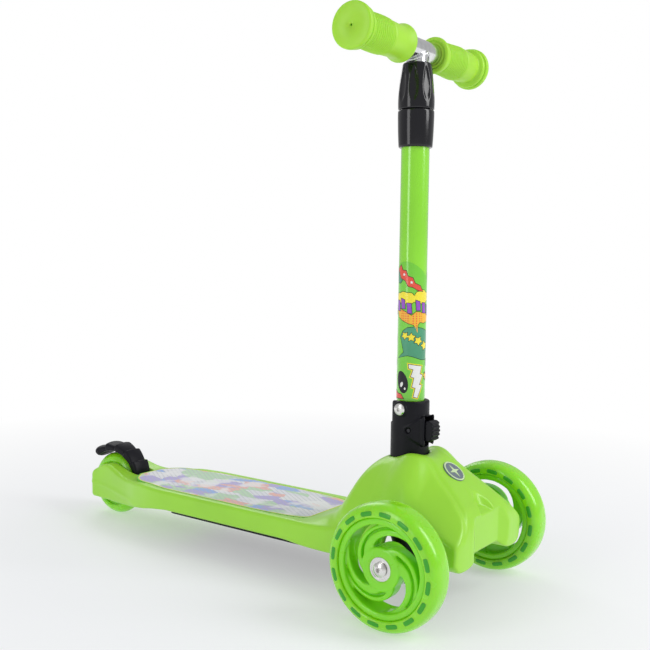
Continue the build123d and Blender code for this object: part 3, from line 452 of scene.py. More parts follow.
# The flat band down each leg: its plane, and the shallow crease along its edge.
BAND_NORMAL = (0.570, -0.349, 0.744)
BAND_LEVEL = 196.1
CREASE_START = 205
CREASE_FADE = 30
CREASE_DEPTH = 1.2
CREASE_WIDTH = 2.0
LOBE_TURN_X = 46
LOBE_TURN = 0.003
WALL = 5.0
LOBE_BACK = -262.0
DECK_TOP = 63.5
DECK_FRONT = -205
DECK_END = 280
DECK_BLEND = 11
DECK_STEP = 1.5


def across(line, t):
    """Cosine of a line's slope at t: turns a height above the line into a distance from it."""
    return 1 / np.sqrt(1 + ((line(t + 0.5) - line(t - 0.5)) ** 2))


def hood_field(p):
    """The hood's closed outer form: nose, two leg bands, flanks and front face."""
    x, y, z = mirrored(p)
    nose = (z - HOOD_NOSE(y) + NOSE_CROWN(y) * x**2) * across(HOOD_NOSE, y)
    band = BAND_NORMAL[0] * x + BAND_NORMAL[1] * y + BAND_NORMAL[2] * z - BAND_LEVEL
    level = z - LIP_RISE(y)
    flank = (x - HOOD_FLANK(level) + HOOD_NARROW(y)) * across(HOOD_FLANK, level)
    front = HOOD_FRONT - y + FRONT_LEAN(z) + np.maximum(x - LOBE_TURN_X, 0) ** 2 * LOBE_TURN
    rear = smax(nose, flank, SHOULDER_BLEND(y))
    sharp = smax(smax(nose, flank, 7), band, 4)
    ahead = np.clip((-y - CREASE_START) / CREASE_FADE, 0, 1)
    body = rear * (1 - ahead) + sharp * ahead
    body = body + CREASE_DEPTH * ahead * np.exp(-((nose - band) / CREASE_WIDTH) ** 2)
    body = smax(body, front, 4)
    bottom = LOBE_BOTTOM(x) - np.interp(y, *zip(*EDGE_DROP)) - z
    return smax(body, bottom, 3)


def deck_outer(p):
    """The deck's slab with its tail, joined to the hood."""
    x, y, z = mirrored(p)
    slab = smax(smax(x - DECK_HALF_LINE(y), z - DECK_TOP_LINE(y), 5), DECK_BOTTOM_LINE(y) - z, 4)
    slab = smax(smax(slab, y - DECK_END, 6), DECK_FRONT - y, 3)
    return smin(slab, hood_field(p), DECK_BLEND)


def cylinder_x(p, y, z, radius):
    return np.hypot(p[..., 1] - y, p[..., 2] - z) - radius


def cylinder_z(p, x, y, radius):
    return np.hypot(p[..., 0] - x, p[..., 1] - y) - radius


PANEL_Y = -281.0
PANEL_HALF = 25.5
PANEL_TOP = 94.0
CHEEK_LEAN = 2.1
SCOOP_Y = 266.4
SCOOP_LEAN = 0.42
SCOOP_ROUND = 0.050
SKIN = 2.8
CAVITY_REAR = -152
CAVITY_TOP_REAR = -88
SKIRT_HALF = 69.4
SKIRT_TOP = 70
WHEEL_ARCH_Z = 58
WHEEL_ARCH_R = 31
STEM_HOLE_R = 20.3
POCKET_HALF = 56
POCKET_Y = (-153, 184)
POCKET_FLOOR = 4.5
RIB_Y = (-78, -2, 66, 110, 150)
RIB_HALF = 1.2
FORK_HALF = 15
FORK_Y = 203
MAT_HALF = curve(
    (-100, 34.6), (-92.5, 34.6), (-86, 43.5), (-13, 51.5), (105, 51.5), (145, 46.5), (178, 38.5),
    (190, 26), (195.5, 17.5),
)
MAT_Y = (-92.5, 195.5)
MAT_T = 1.5


def front_recess(p):
    """What is cut from the nose between the lobes: the flat panel's pocket and the scoop above."""
    x, y, z = mirrored(p)
    deep = np.maximum(PANEL_Y - y, 0)
    cheek = (x - PANEL_HALF - CHEEK_LEAN * deep) / 2.3
    pocket = smax(smax(cheek, y - PANEL_Y, 0.6), z - 120, 1)
    pocket = smax(pocket, z - PANEL_TOP - 0.8 * deep, 0.6)
    shelf = (PANEL_TOP + 0.55 * (y - PANEL_Y) - z) * 0.88
    arch = (y + SCOOP_Y + SCOOP_LEAN * (110 - z) + SCOOP_ROUND * x**2) * 0.85
    return smin(pocket, smax(shelf, arch, 0.4), 0.4)


def deck_field(p):
    """The one-piece deck moulding with its hollow hood, arches, recesses and fork."""
    x, y, z = mirrored(p)
    hood = hood_field(p)
    outer = deck_outer(p)
    inside = smax(hood + WALL, y - CAVITY_REAR, 1.0)
    upper = smax(smax(hood + WALL, y - CAVITY_TOP_REAR, 1.0), DECK_TOP + 1.5 - z, 1.0)
    inside = smin(inside, upper, 1.0)
    under = smax(x + HOOD_NARROW(y) - SKIRT_HALF + WALL, z - SKIRT_TOP, 1.0)
    under = smax(under, y - CAVITY_REAR, 1.0)
    inside = smax(smin(inside, under, 1.0), LOBE_BACK - y, 3.0)
    shell = smax(outer, -inside, 1.0)
    recess = front_recess(p)
    liner = smax(smax(recess - SKIN, outer, 0.8), 58 - z, 0.8)
    shell = smax(smin(shell, liner, 1.0), -recess, 0.8)
    below = rounded_box(p, (0, FRONT_Y + 8, 29), (200, 39, 29), 3)
    arch = smin(cylinder_x(p, FRONT_Y, WHEEL_ARCH_Z, WHEEL_ARCH_R), below, 2)
    shell = smax(shell, -arch, 1.2)
    shell = smax(shell, -smax(cylinder_z(p, 0, STEM_Y, STEM_HOLE_R), 100 - z, 1), 1.2)
    pocket = smax(x - POCKET_HALF, x - DECK_HALF_LINE(y) + 4, 1)
    pocket = smax(pocket, smax(POCKET_Y[0] - y, y - POCKET_Y[1], 1), 1)
    ribs = np.minimum.reduce([np.abs(y - r) - RIB_HALF for r in RIB_Y] + [x - RIB_HALF])
    shell = smax(shell, -smax(smax(pocket, z - DECK_TOP + POCKET_FLOOR, 1), -ribs, 1), 1)
    shell = smax(shell, -smax(x - FORK_HALF, FORK_Y - y, 3), 1.5)
    return smax(shell, -mat_recess(p), 0.5)


def mat_recess(p):
    """Shallow recess that the printed mat lies in."""
    x = np.abs(p[..., 0])
    y = p[..., 1]
    middle, reach = sum(MAT_Y) / 2, (MAT_Y[1] - MAT_Y[0]) / 2
    plan = smax(x - MAT_HALF(y), np.abs(y - middle) - reach, 0.5)
    return smax(plan, DECK_TOP - MAT_T - p[..., 2], 0.4)


def add_deck(material):
    field_piece("deck_and_hood", deck_field, (-75, -292, 19), (75, 284, 152), DECK_STEP,
                "chassis", material, ["deck_shell"])


# ---- Front wheels ----
RIM_STEP = 1.3
RIM_R = 47.0
RING_R = 44
RING_HALF = 3.2
HUB_R = 20.0
HUB_HALF = 13.0
ARMS = 3
ARM_START = 25.0
ARM_SWEEP = 95.0
ARM_BACK = 2.5
BEARING_R = 11.05
BEARING_SEAT = 5.5
BORE_R = 8.6
TYRE_HALF = 15.0
TYRE_R = 60.0
TYRE_SHOULDER = 49.5
WINDOWS = 16
WINDOW_TURN = 6
WINDOW_R = 51.4
WINDOW_SIZE = (6.3, 2.2)
WINDOW_STEPS = 28
# Section of a window's edge: (share of its size, height above the side wall).
WINDOW_EDGE = ((0.0, 0.35), (0.55, 0.35), (0.86, 0.32), (0.97, 0.15), (1.0, -0.5))


def rim_field(side):
    """One rim: ring, hub and three dished spiral arms that turn one way, seen from outside."""
    centre = np.array([side * abs(WHEEL["right"][0]) / MM, FRONT_Y, FRONT_R])
    pitch = 360 / ARMS

    def field(p):
        q = p - centre
        out = np.abs(q[..., 0])
        r = np.hypot(q[..., 1], q[..., 2])
        theta = -side * np.degrees(np.arctan2(q[..., 2], q[..., 1]))
        off_ring = np.abs(r - RING_R)
        ring = smax(smax(off_ring - RING_HALF, r - RIM_R, 0.3), out - HUB_HALF + 0.15 * off_ring, 1.2)
        hub = smax(r - HUB_R, out - HUB_HALF, 2.0)
        travel = np.clip((r - HUB_R) / 21.5, 0, 1.2)
        middle = ARM_START + ARM_SWEEP * travel ** 1.276
        off = (theta - middle + pitch / 2) % pitch - pitch / 2
        aside = np.radians(off) * r * (0.46 - 0.08 * travel)
        width = 6.4 + 1.6 * travel
        arm_top = 12.4 - 4.4 * np.clip((r - 18) / 24, 0, 1)
        groove = smax(np.abs(aside + 1.0) - 1.5, 6.0 - out, 0.5)
        groove = smax(groove, np.abs(r - 31.5) - 10.5, 1.5)
        outward = side * q[..., 0]
        arm = smax(np.abs(aside) - width, outward - arm_top, 1.6)
        arm = smax(arm, -outward - ARM_BACK, 1.6)
        arm = smax(arm, -groove, 0.7)
        arm = smax(arm, r - 43, 1)
        arm = smax(arm, 12 - r, 1)
        wheel = smin(smin(ring, arm, 2.0), hub, 1.2)
        bore = smin(smax(r - BEARING_R, BEARING_SEAT - out, 0.2), r - BORE_R, 0.2)
        return smax(wheel, -bore, 0.5)

    return field


def tyre_profile():
    """Section of a front tyre: flat side walls running into a round crown."""
    crown = []
    for angle in np.linspace(-90, 90, 45):
        s, c = math.sin(math.radians(angle)), math.cos(math.radians(angle))
        along = math.copysign(abs(s) ** 0.70, s) * TYRE_HALF
        crown.append((along, TYRE_SHOULDER + (TYRE_R - TYRE_SHOULDER) * abs(c) ** 0.86))
    bead = [(13.2, RIM_R), (14.4, RIM_R + 0.5), (TYRE_HALF, RIM_R + 1.4)]
    return [(-along, radius) for along, radius in bead] + crown + bead[::-1]


def tyre_wall(radius):
    """Half width of the tyre at a radius."""
    profile = [p for p in tyre_profile() if p[0] > 0]
    profile.sort(key=lambda p: p[1])
    return float(np.interp(radius, [p[1] for p in profile], [p[0] for p in profile]))


def place_x(points, centre):
    """Moves points made about the local X axis to a wheel's centre."""
    return [(p[0] + centre[0], p[1] + centre[1], p[2] + centre[2]) for p in points]


def window_pads():
    """Moulded light windows in both side walls of a tyre: low rounded bars in a ring."""
    points, faces = [], []
    steps = WINDOW_STEPS
    length, width = WINDOW_SIZE
    for wall in (-1, 1):
        for k in range(WINDOWS):
            mid = math.radians(360 / WINDOWS * k + WINDOW_TURN)
            start = len(points)
            for scale, lift in WINDOW_EDGE:
                for i in range(steps):
                    t = 2 * math.pi * i / steps
                    c, s = math.cos(t), math.sin(t)
                    along = math.copysign(abs(c) ** 0.35, c) * scale * length
                    r = WINDOW_R + math.copysign(abs(s) ** 0.6, s) * scale * width
                    a = mid + along / WINDOW_R
                    points.append((wall * (tyre_wall(r) + lift), r * math.cos(a), r * math.sin(a)))
            for j in range(len(WINDOW_EDGE) - 1):
                for i in range(steps):
                    a, b = start + j * steps + i, start + j * steps + (i + 1) % steps
                    quad = (a, b, b + steps, a + steps)
                    faces.append(quad if wall > 0 else quad[::-1])
            cap = tuple(start + (len(WINDOW_EDGE) - 1) * steps + i for i in range(steps))
            faces.append(cap if wall > 0 else cap[::-1])
    return points, faces


def add_front_wheels(rim, tyre, window):
    for name, side in SIDES:
        centre = [c / MM for c in WHEEL[name]]
        body = f"front_wheel_{name}"
        half, reach = HUB_HALF + 1.5, RIM_R + 1.5
        low = (centre[0] - half, FRONT_Y - reach, FRONT_R - reach)
        high = (centre[0] + half, FRONT_Y + reach, FRONT_R + reach)
        field_piece(f"front_rim_shape_{name}", rim_field(side), low, high, RIM_STEP,
                    body, rim, [f"front_rim_{name}"])
        points, faces = lathe(tyre_profile(), 144)
        link_mesh(f"front_tyre_shape_{name}", place_x(points, centre), faces, body,
                  tyre, [f"front_tyre_{name}"])
        points, faces = window_pads()
        link_mesh(f"tyre_windows_{name}", place_x(points, centre), faces, body,
                  window)


# ---- Grips, collar and T-joint ----
GRIP_INNER = 29.5
RIB_COUNT = 12
RIB_PITCH = 2.9
RIB_START = {1: 42.0, -1: 66.0}
RIB_SECTION = (
    (0.0, -0.75), (0.3, -0.15), (0.65, 0.3), (1.05, 0.45), (1.55, 0.45), (1.95, 0.3), (2.3, -0.15),
    (2.6, -0.75),
)
BARREL = curve((35.5, 17.6), (42, 16.1), (58, 16.6), (76, 17.4), (92, 16.9), (106, 15.6))
BARREL_START = 37.0
BARREL_END = 102.6
BAR_R = 11.0
# Sections as (along X, radius): the inner flange from the grip's start, and the end cap.
FLANGE = (
    (0.0, 13.2), (1.4, 13.3), (1.4, 14.5), (0.0, 14.7), (-0.1, 16.2), (0.3, 17.4), (1.4, 18.5),
    (3.0, 18.8), (4.6, 18.4), (6.0, 17.5),
)
END_CAP = (
    (103.6, 16.4), (104.4, 18.3), (105.2, 19.7), (106.4, 20.4), (108.4, 20.5), (109.1, 20.0),
    (109.3, 17.2), (110.7, 17.2), (110.9, 20.4), (111.8, 21.5), (113.0, 21.7), (115.4, 21.7),
    (116.5, 21.2), (117.0, 20.0), (116.9, 1.5), (116.3, 1.1), (113.0, 1.0), (113.0, BAR_R),
)


def barrel_run(start, stop, fewest):
    """Points of the grip's plain barrel, about one every 2 mm."""
    count = max(fewest, round((stop - start) / 2))
    return [(x, float(BARREL(x))) for x in np.linspace(start, stop, count)]


def grip_profile(side):
    """Section of a grip from its inner flange to its end cap: (along X, radius)."""
    outer = [(GRIP_INNER + x, r) for x, r in FLANGE]
    first = RIB_START[side]
    last = first + RIB_COUNT * RIB_PITCH
    outer += barrel_run(BARREL_START, first - 0.6, 3)
    for k in range(RIB_COUNT):
        start = first + RIB_PITCH * k
        for along, lift in RIB_SECTION:
            outer.append((start + along, float(BARREL(start + along)) + lift))
    outer += barrel_run(last + 0.4, BARREL_END, 2)
    outer += [*END_CAP, (GRIP_INNER, BAR_R)]
    return [(side * x, r) for x, r in outer]


def add_grips(material):
    for name, side in SIDES:
        points, faces = lathe(grip_profile(side), 96)
        if side < 0:
            faces = [f[::-1] for f in faces]
        link_mesh(f"grip_shape_{name}", place_x(points, (0, STEM_Y, BAR_Z)), faces, "tbar",
                  material, [f"grip_{name}"])


def upright(points):
    """Turns points made about local X so that they stand about the stem's axis."""
    return [(p[1], p[2] + STEM_Y, p[0]) for p in points]


FLUTES = 8
FLUTED_STEPS = 160
FLUTE_DEPTH = 1.15
FLUTE_LOW = 496.5
FLUTE_LENGTH = 36.5
FLUTE_MIN_R = 14.9
NUT_SIDE = curve((490, 18.1), (497, 18.3), (505, 18.1), (515, 17.3), (525, 16.1), (534, 14.9), (536, 14.6))
SLEEVE_SIDE = curve((452.5, 17.0), (460, 17.5), (475, 18.1), (487, 18.3), (489.5, 18.0))


def fluted(profile):
    """A lathe whose outside sinks into the nut's flutes."""
    points, faces = lathe(profile, FLUTED_STEPS)
    rows = len(profile)
    for i in range(FLUTED_STEPS):
        turn = 2 * math.pi * i / FLUTED_STEPS
        for j in range(rows):
            along, radius = profile[j]
            share = nut_flute(turn, along)
            if share > 0 and radius > FLUTE_MIN_R:
                radius -= FLUTE_DEPTH * share
                points[i * rows + j] = (along, radius * math.cos(turn), radius * math.sin(turn))
    return points, faces


def nut_flute(turn, height):
    """Share of a flute's depth at a turn and height: eight lenses, pointed at both ends."""
    phase = (turn / (2 * math.pi) * FLUTES) % 1 - 0.5
    t = (height - FLUTE_LOW) / FLUTE_LENGTH
    if not 0 < t < 1:
        return 0.0
    half = 0.36 * math.sin(math.pi * t ** 0.8) ** 0.7
    edge = abs(phase) / max(half, 1e-6)
    return max(0.0, 1 - edge ** 2) ** 0.8 * min(1.0, 2.2 * math.sin(math.pi * t))


def add_collar(material):
    """The fluted twist nut and the plain sleeve below it, as sections of (height, radius)."""
    side = [(z, float(NUT_SIDE(z))) for z in np.linspace(491.2, 534.6, 60)]
    nut = [(490.1, 17.4), (490.5, 18.0), *side]
    nut += [(535.4, 14.5), (535.9, 13.9), (536.0, 13.0), (535.9, 11.6), (529, 11.5), (527.5, 12.8)]
    nut += [(509, 13.9), (507.5, 14.4), (490.1, 14.4)]
    points, faces = fluted(nut)
    link_mesh("twist_nut_shape", upright(points), faces, "twist_nut", material,
              ["twist_nut"])
    side = [(z, float(SLEEVE_SIDE(z))) for z in np.linspace(453.4, 487.8, 24)]
    sleeve = [(452.5, 14.3), (452.5, 16.2), (452.8, 16.8), *side]
    sleeve += [(488.6, 18.2), (489.3, 17.7), (489.5, 17.0), (489.5, 14.0), (505, 14.0)]
    sleeve += [(505, 11.8), (480, 11.8), (480, 14.3)]
    points, faces = lathe(sleeve)
    link_mesh("collar_sleeve_shape", upright(points), faces, "stem", material,
              ["collar_sleeve"])


WELD_R = 11.2
WELD_ON_R = 12.4
WELD_BEAD = 1.35
WELD_RIPPLE = 0.16
WELD_RIPPLES = 26


def add_weld(material):
    """Weld bead where the upright meets the crossbar, with the ripple of a hand-laid bead."""
    points, faces = [], []
    steps, ring = 120, 10
    for i in range(steps):
        t = 2 * math.pi * i / steps
        x, y = WELD_R * math.cos(t), WELD_R * math.sin(t)
        z = BAR_Z - math.sqrt(WELD_ON_R ** 2 - y ** 2)
        swell = WELD_BEAD + WELD_RIPPLE * math.sin(WELD_RIPPLES * t)
        for k in range(ring):
            a = 2 * math.pi * k / ring
            lift = swell * math.cos(a)
            points.append((x + lift * math.cos(t), STEM_Y + y + lift * math.sin(t),
                           z + swell * math.sin(a)))
    for i in range(steps):
        for k in range(ring):
            a, b = i * ring + k, i * ring + (k + 1) % ring
            faces.append((a, b, (b + ring) % (steps * ring), (a + ring) % (steps * ring)))
    link_mesh("t_joint_weld", points, faces, "tbar", material)


# ---- Fold block, thumb latch and brake ----
PIVOT_Z = 189.0
BLOCK_R = 19.7
BLOCK_TOP = 197
BLOCK_FOOT = 70
BOSS_R = 7.6
BOLT_HOLE_R = 4.05
PIN_HOLE_R = 2.05
LATCH_Y = -199.8
LATCH_Z = 167.7
WELL_R = 14.9


def block_field(p):
    """The fold block: round sleeve, bolt bosses, wedge shoulder about the thumb latch and base."""
    x, y, z = mirrored(p, STEM_Y)
    tube = smax(smax(np.hypot(x, y) - BLOCK_R, z - BLOCK_TOP, 2.2), BLOCK_FOOT - z, 0.5)
    base = rounded_box(p, (0, STEM_Y, 73.5), (23, 23, 3.5), 1.2)
    block = smin(tube, base, 3)
    boss = smax(np.hypot(y, z - PIVOT_Z) - BOSS_R, x - BLOCK_R - 0.8, 0.8)
    block = smin(block, boss, 1.5)
    reach = np.clip((-y - 4) / 18, 0, 1)
    shoulder = smax(np.abs(z - 167) - 3.5 - 12.5 * reach, x - 11.5, 2.5)
    shoulder = smax(smax(shoulder, -y - 22.8, 2.5), y + 2, 1)
    flare = smax(np.abs(z - 167) - 3 - 13 * reach, np.hypot(x, y) - BLOCK_R - 1.5 * reach - 0.4, 1.5)
    flare = smax(flare, y + 3, 1)
    block = smin(smin(block, shoulder, 3.0), flare, 1.2)
    well = smax(np.hypot(x, y) - WELL_R, 150 - z, 0.5)
    rear_slot = smax(smax(x - WELL_R, -y, 0.3), 173 - z, 0.5)
    front_slot = smax(smax(x - 8.4, y, 0.3), np.abs(z - 166.2) - 15.5, 0.8)
    shaft = smax(np.hypot(x, y) - BLOCK_R + 5, z - 146, 0.5)
    pin_hole = cylinder_x(p, LATCH_Y, LATCH_Z, PIN_HOLE_R)
    pin_head = smax(cylinder_x(p, LATCH_Y, LATCH_Z, 2.9), 16.6 - x, 0.6)
    bolt = np.hypot(y, z - PIVOT_Z) - BOLT_HOLE_R
    for cut in (well, rear_slot, front_slot, shaft, pin_head, bolt, pin_hole):
        block = smax(block, -cut, 0.5)
    return block


def latch_field(p):
    """The thumb latch: a tooth inside the block and a ribbed button in front of it."""
    x, y, z = mirrored(p, LATCH_Y, LATCH_Z)
    arm = smax(smax(x - 7.0, np.abs(z + 0.3) - 5.2, 1.0), np.abs(y + 7) - 7.5, 1.0)
    tooth = smax(smax(x - 7.0, np.hypot(y, z) - 4.4, 0.8), -y - 4, 0.8)
    tip = smax(smax(x - 7.0, np.abs(y - 0.7) - 1.6, 0.6), np.abs(z - 4) - 2.6, 0.6)
    face = np.hypot(y + 2.0, z * 0.92) - 20.4
    button = smax(smax(x - 7.9, np.abs(z + 0.4) - 10.4, 1.5), smax(face, y + 14, 1), 1.5)
    ridges = smax(smax(face - 1.1, y + 17, 0.8), x - 7.3, 0.8)
    wave = np.abs((z + 0.4 + 2.0) % 4.0 - 2.0) - 1.15
    ridges = smax(smax(ridges, wave, 0.7), np.abs(z + 0.4) - 9.4, 0.6)
    lever = smin(smin(smin(arm, tooth, 1.5), tip, 1.0), smin(button, ridges, 0.5), 2)
    return smax(lever, PIN_HOLE_R - np.hypot(y, z), 0.3)


FENDER_IN = 44.0
FENDER_HALF = 13.5
FENDER_FOOT = -12
BRAKE_PIN = (209.5, 52)
SCALE_START = 52
SCALE_PITCH = 21.5
SCALE_RISE = 4.4


def fender_field(p):
    """The brake fender: a crowned arc over the rear wheel with five overlapping scales."""
    x, y, z = mirrored(p, REAR_Y, REAR_R)
    r = np.hypot(y, z)
    a = np.degrees(np.arctan2(z, y))
    step = ((a - SCALE_START) / SCALE_PITCH) % 1
    rise = 1 - step
    edge = np.clip(step / 0.10, 0, 1)
    scale = 50.2 + SCALE_RISE * rise * edge * edge * (3 - 2 * edge) - 0.012 * x**2
    outer = r - scale - 0.6
    side = x - FENDER_HALF - 0.1 + 0.9 * (1 - rise * edge)
    band = smax(smax(outer, side, 3.2), FENDER_IN - r, 0.8)
    ends = smax(y * math.sin(math.radians(50)) - z * math.cos(math.radians(50)), -y - 46.5, 2)
    tail = np.sqrt((x / 12.8) ** 2 + ((y - 31.5) / 8.5) ** 2 + ((z - 38.5) / 7.0) ** 2) * 7.5 - 7.5
    band = smax(band, ends, 2.0)
    band = smin(band, smax(tail, FENDER_IN - r, 0.8), 3)
    foot = cylinder_x(p, *BRAKE_PIN, 5)
    band = smax(band, FENDER_FOOT - z, 1)
    band = smin(band, smax(foot, x - FENDER_HALF, 1), 2)
    hole = cylinder_x(p, *BRAKE_PIN, PIN_HOLE_R)
    spring_room = smax(cylinder_x(p, *BRAKE_PIN, 5.6), x - 5.5, 0.3)
    return smax(smax(band, -hole, 0.3), -spring_room, 0.3)


def add_black_parts(matt):
    """Fold block, thumb latch and brake fender, each sampled in a box a little larger than itself."""
    low, high = (-24.5, STEM_Y - 24.5, 69), (24.5, STEM_Y + 24.5, 199)
    field_piece("fold_block_shape", block_field, low, high, 1.1,
                "chassis", matt, ["fold_block"])
    low, high = (-9, LATCH_Y - 25, LATCH_Z - 13), (9, LATCH_Y + 6, LATCH_Z + 13)
    field_piece("latch_lever_shape", latch_field, low, high, 0.6,
                "latch", matt, ["latch_lever"])
    low, high = (-15, REAR_Y - 50, 44), (15, REAR_Y + 44, 99)
    field_piece("brake_fender_shape", fender_field, low, high, 0.9,
                "brake", matt, ["brake_fender"])


# ---- Printed mat, badge and tube sticker ----
BORDER = (1.6, 3.0)
STICKER_R = 14.52
LAYER = 0.05
STRIP = 1.6
FACING = math.radians(216.3)
BADGE_UP = Vector((0, 0.78, 0.62)).normalized()
BADGE_OUT = Vector((0, -0.62, 0.78)).normalized()


def grown(outline, amount):
    """An outline moved outward by an amount; corners stay corners."""
    grown_points = []
    n = len(outline)
    following = outline[1:] + outline[:1]
    area = sum(a[0] * b[1] - b[0] * a[1] for a, b in zip(outline, following))
    sign = 1 if area > 0 else -1
    for i in range(n):
        before = Vector(outline[i]) - Vector(outline[i - 1])
        after = Vector(outline[(i + 1) % n]) - Vector(outline[i])
        before.normalize()
        after.normalize()
        turn = before + after
        turn = turn.normalized() if turn.length > 0.05 else before
        normal = Vector((turn.y, -turn.x)) * sign
        reach = min(2.2, 1 / max(0.3, abs(turn.dot(before))))
        u, v = outline[i]
        grown_points.append((u + normal.x * amount * reach, v + normal.y * amount * reach))
    return grown_points


def round_shape(centre, radii, steps=28, lobes=0, depth=0.0, turn=0.0):
    """An ellipse, or with lobes a cloud, about a centre."""
    points = []
    for i in range(steps):
        t = 2 * math.pi * i / steps
        swell = 1 + depth * abs(math.sin(lobes * t / 2)) if lobes else 1
        u, v = radii[0] * swell * math.cos(t), radii[1] * swell * math.sin(t)
        points.append((centre[0] + u * math.cos(turn) - v * math.sin(turn),
                       centre[1] + u * math.sin(turn) + v * math.cos(turn)))
    return points


def burst(centre, outer, inner, rays, turn=0.0):
    """A star or a jagged burst about a centre."""
    points = []
    for i in range(2 * rays):
        radius = outer if i % 2 == 0 else inner
        t = turn + math.pi * i / rays
        points.append((centre[0] + radius * math.cos(t), centre[1] + radius * math.sin(t)))
    return points


def filled(outline):
    """Vertices and triangles of an outline, cut into strips narrow enough to bend round the tube."""
    bm = bmesh.new()
    bm.faces.new([bm.verts.new((u, v, 0)) for u, v in outline])
    bmesh.ops.triangulate(bm, faces=bm.faces[:])
    low, high = min(u for u, _ in outline), max(u for u, _ in outline)
    for cut in np.arange(math.floor(low) + 1, high, STRIP):
        bmesh.ops.bisect_plane(bm, geom=bm.verts[:] + bm.edges[:] + bm.faces[:], dist=1e-5,
                               plane_co=(float(cut), 0, 0), plane_no=(1, 0, 0))
    bmesh.ops.triangulate(bm, faces=bm.faces[:])
    bmesh.ops.recalc_face_normals(bm, faces=bm.faces[:])
    bm.verts.index_update()
    flat = [(v.co.x, v.co.y) for v in bm.verts]
    faces = []
    for face in bm.faces:
        ring = [v.index for v in face.verts]
        faces.append(ring if face.normal.z > 0 else ring[::-1])
    rim = []
    for edge in bm.edges:
        if len(edge.link_faces) == 1:
            loop = edge.link_loops[0]
            pair = (loop.vert.index, loop.link_loop_next.vert.index)
            rim.append(pair if edge.link_faces[0].normal.z > 0 else pair[::-1])
    bm.free()
    return flat, faces, rim


def thick(outlines, place, depth):
    """Closed thin pieces over outlines; place(u, v, lift) puts a point on the surface they lie on."""
    points, faces = [], []
    for outline, lift in outlines:
        flat, tops, rim = filled(outline)
        start, n = len(points), len(flat)
        points += [place(u, v, lift + depth) for u, v in flat] + [place(u, v, lift) for u, v in flat]
        for top in tops:
            faces.append([start + i for i in top])
            faces.append([start + n + i for i in reversed(top)])
        for a, b in rim:
            faces.append((start + b, start + a, start + n + a, start + n + b))
    return points, faces


def on_tube(u, v, lift):
    angle = FACING + u / STICKER_R
    radius = STICKER_R + lift
    return (radius * math.cos(angle), STEM_Y + radius * math.sin(angle), v)


# Comic shapes as (round the tube, height) in millimetres.
MASK = [
    (-19.5, 331), (-15, 334.5), (-12.5, 329.5), (-8.5, 329), (-6.5, 323.5), (-1.5, 322), (1, 316.5),
    (6.5, 314), (9.5, 308.5), (4, 309.5), (-1, 312.5), (-6, 313.5), (-9, 319), (-14.5, 321.5),
]
FLAME = [
    (-20, 289), (-15, 290.5), (-8, 287.5), (-2, 284), (3, 288), (9, 287), (16, 286), (20.5, 284),
    (19, 278.5), (12, 276.5), (7, 277.5), (4.5, 274), (4.5, 266.5), (0.5, 274.5), (-5, 276),
    (-12, 279), (-17, 282),
]
HEAD = [
    (-11, 268), (-6, 271.5), (2, 272.5), (10, 271), (18, 268), (21, 260), (19, 250), (16, 239),
    (9, 239.5), (0, 242.5), (-6, 243.5), (-17, 240.5), (-9.5, 246.5), (-11.5, 254), (-14, 262),
]
BOLT = [
    (-4, 234.5), (10, 232.5), (8, 224.5), (11.5, 223.5), (7.5, 214), (10.5, 213), (5.5, 200.5),
    (1.5, 201.5), (3.5, 210.5), (0, 211.5), (2.0, 221), (-1.5, 222), (1, 229.5), (-3.5, 230.5),
]
SCARF = [(-22, 207), (-17, 204), (-12, 203.5), (-9, 199.2), (-22, 199.2)]
BLOCKS = ((-18, 294), (-11.5, 296), (-4.5, 291.5), (4.5, 294.5), (11.5, 292), (18.5, 290))
STARS = ((-8.5, 263.5, 4.0), (-1.8, 262, 4.4), (5.5, 258.5, 4.6), (13.5, 253.5, 4.8))


def sticker_shapes():
    """Comic shapes without any lettering, twice round the tube: colour name, outline, layer."""
    shapes = []
    for shift in (0.0, math.pi * STICKER_R):
        def put(colour, outline, layer, line=0.55):
            moved = [(u + shift, v) for u, v in outline]
            if line:
                shapes.append(("ink", grown(moved, line), layer))
            shapes.append((colour, moved, layer + 1))

        put("teal", round_shape((-17, 324), (5.0, 7.5)), 0)
        put("red", MASK, 2)
        put("white", burst((-10.5, 325.2), 1.9, 0.8, 5, 0.3), 4, 0)
        put("white", burst((-2.5, 317.4), 1.9, 0.8, 5, 0.3), 4, 0)
        put("yellow", round_shape((-9.5, 301.5), (11.5, 5.2), 60, 9, 0.20, -0.05), 0)
        put("yellow", round_shape((9.5, 302.5), (8.0, 6.0), 48, 7, 0.22, 0.1), 0)
        for k, (u, v) in enumerate(BLOCKS):
            block = [(u - 2.4, v + 5), (u + 2.0, v + 4.6 - k % 2), (u + 2.8, v - 5.4), (u - 1.6, v - 5)]
            put("purple", block, 2)
        put("orange", FLAME, 0)
        put("teal", HEAD, 0)
        for u, v, size in STARS:
            put("yellow", burst((u, v), size, size * 0.55, 5, 0.5 + 0.1 * u), 2, 0.45)
        put("ink", round_shape((-11, 216), (6.5, 11.5), 30, 0, 0.0, 0.25), 0, 0)
        put("white", round_shape((-11.5, 213.5), (1.6, 2.8), 18, 0, 0.0, -0.4), 2, 0)
        put("white", round_shape((-7.5, 209.5), (0.9, 1.3), 14), 2, 0)
        shapes.append(("yellow", grown([(u + shift, v) for u, v in BOLT], 1.5), 0))
        put("white", BOLT, 1)
        put("red", SCARF, 2)
        put("orange", burst((17.5, 222), 3.6, 1.8, 8), 0)
        put("teal", round_shape((20, 236), (2.6, 3.6)), 0)
    return shapes


def add_sticker(colours):
    """Every colour of the sticker is one piece; higher layers lie over lower ones."""
    shapes = sticker_shapes()
    for colour, material in colours.items():
        outlines = [(outline, layer * LAYER) for name, outline, layer in shapes if name == colour]
        points, faces = thick(outlines, on_tube, LAYER)
        link_mesh(f"sticker_{colour}", points, faces, "stem", material, smooth=False)


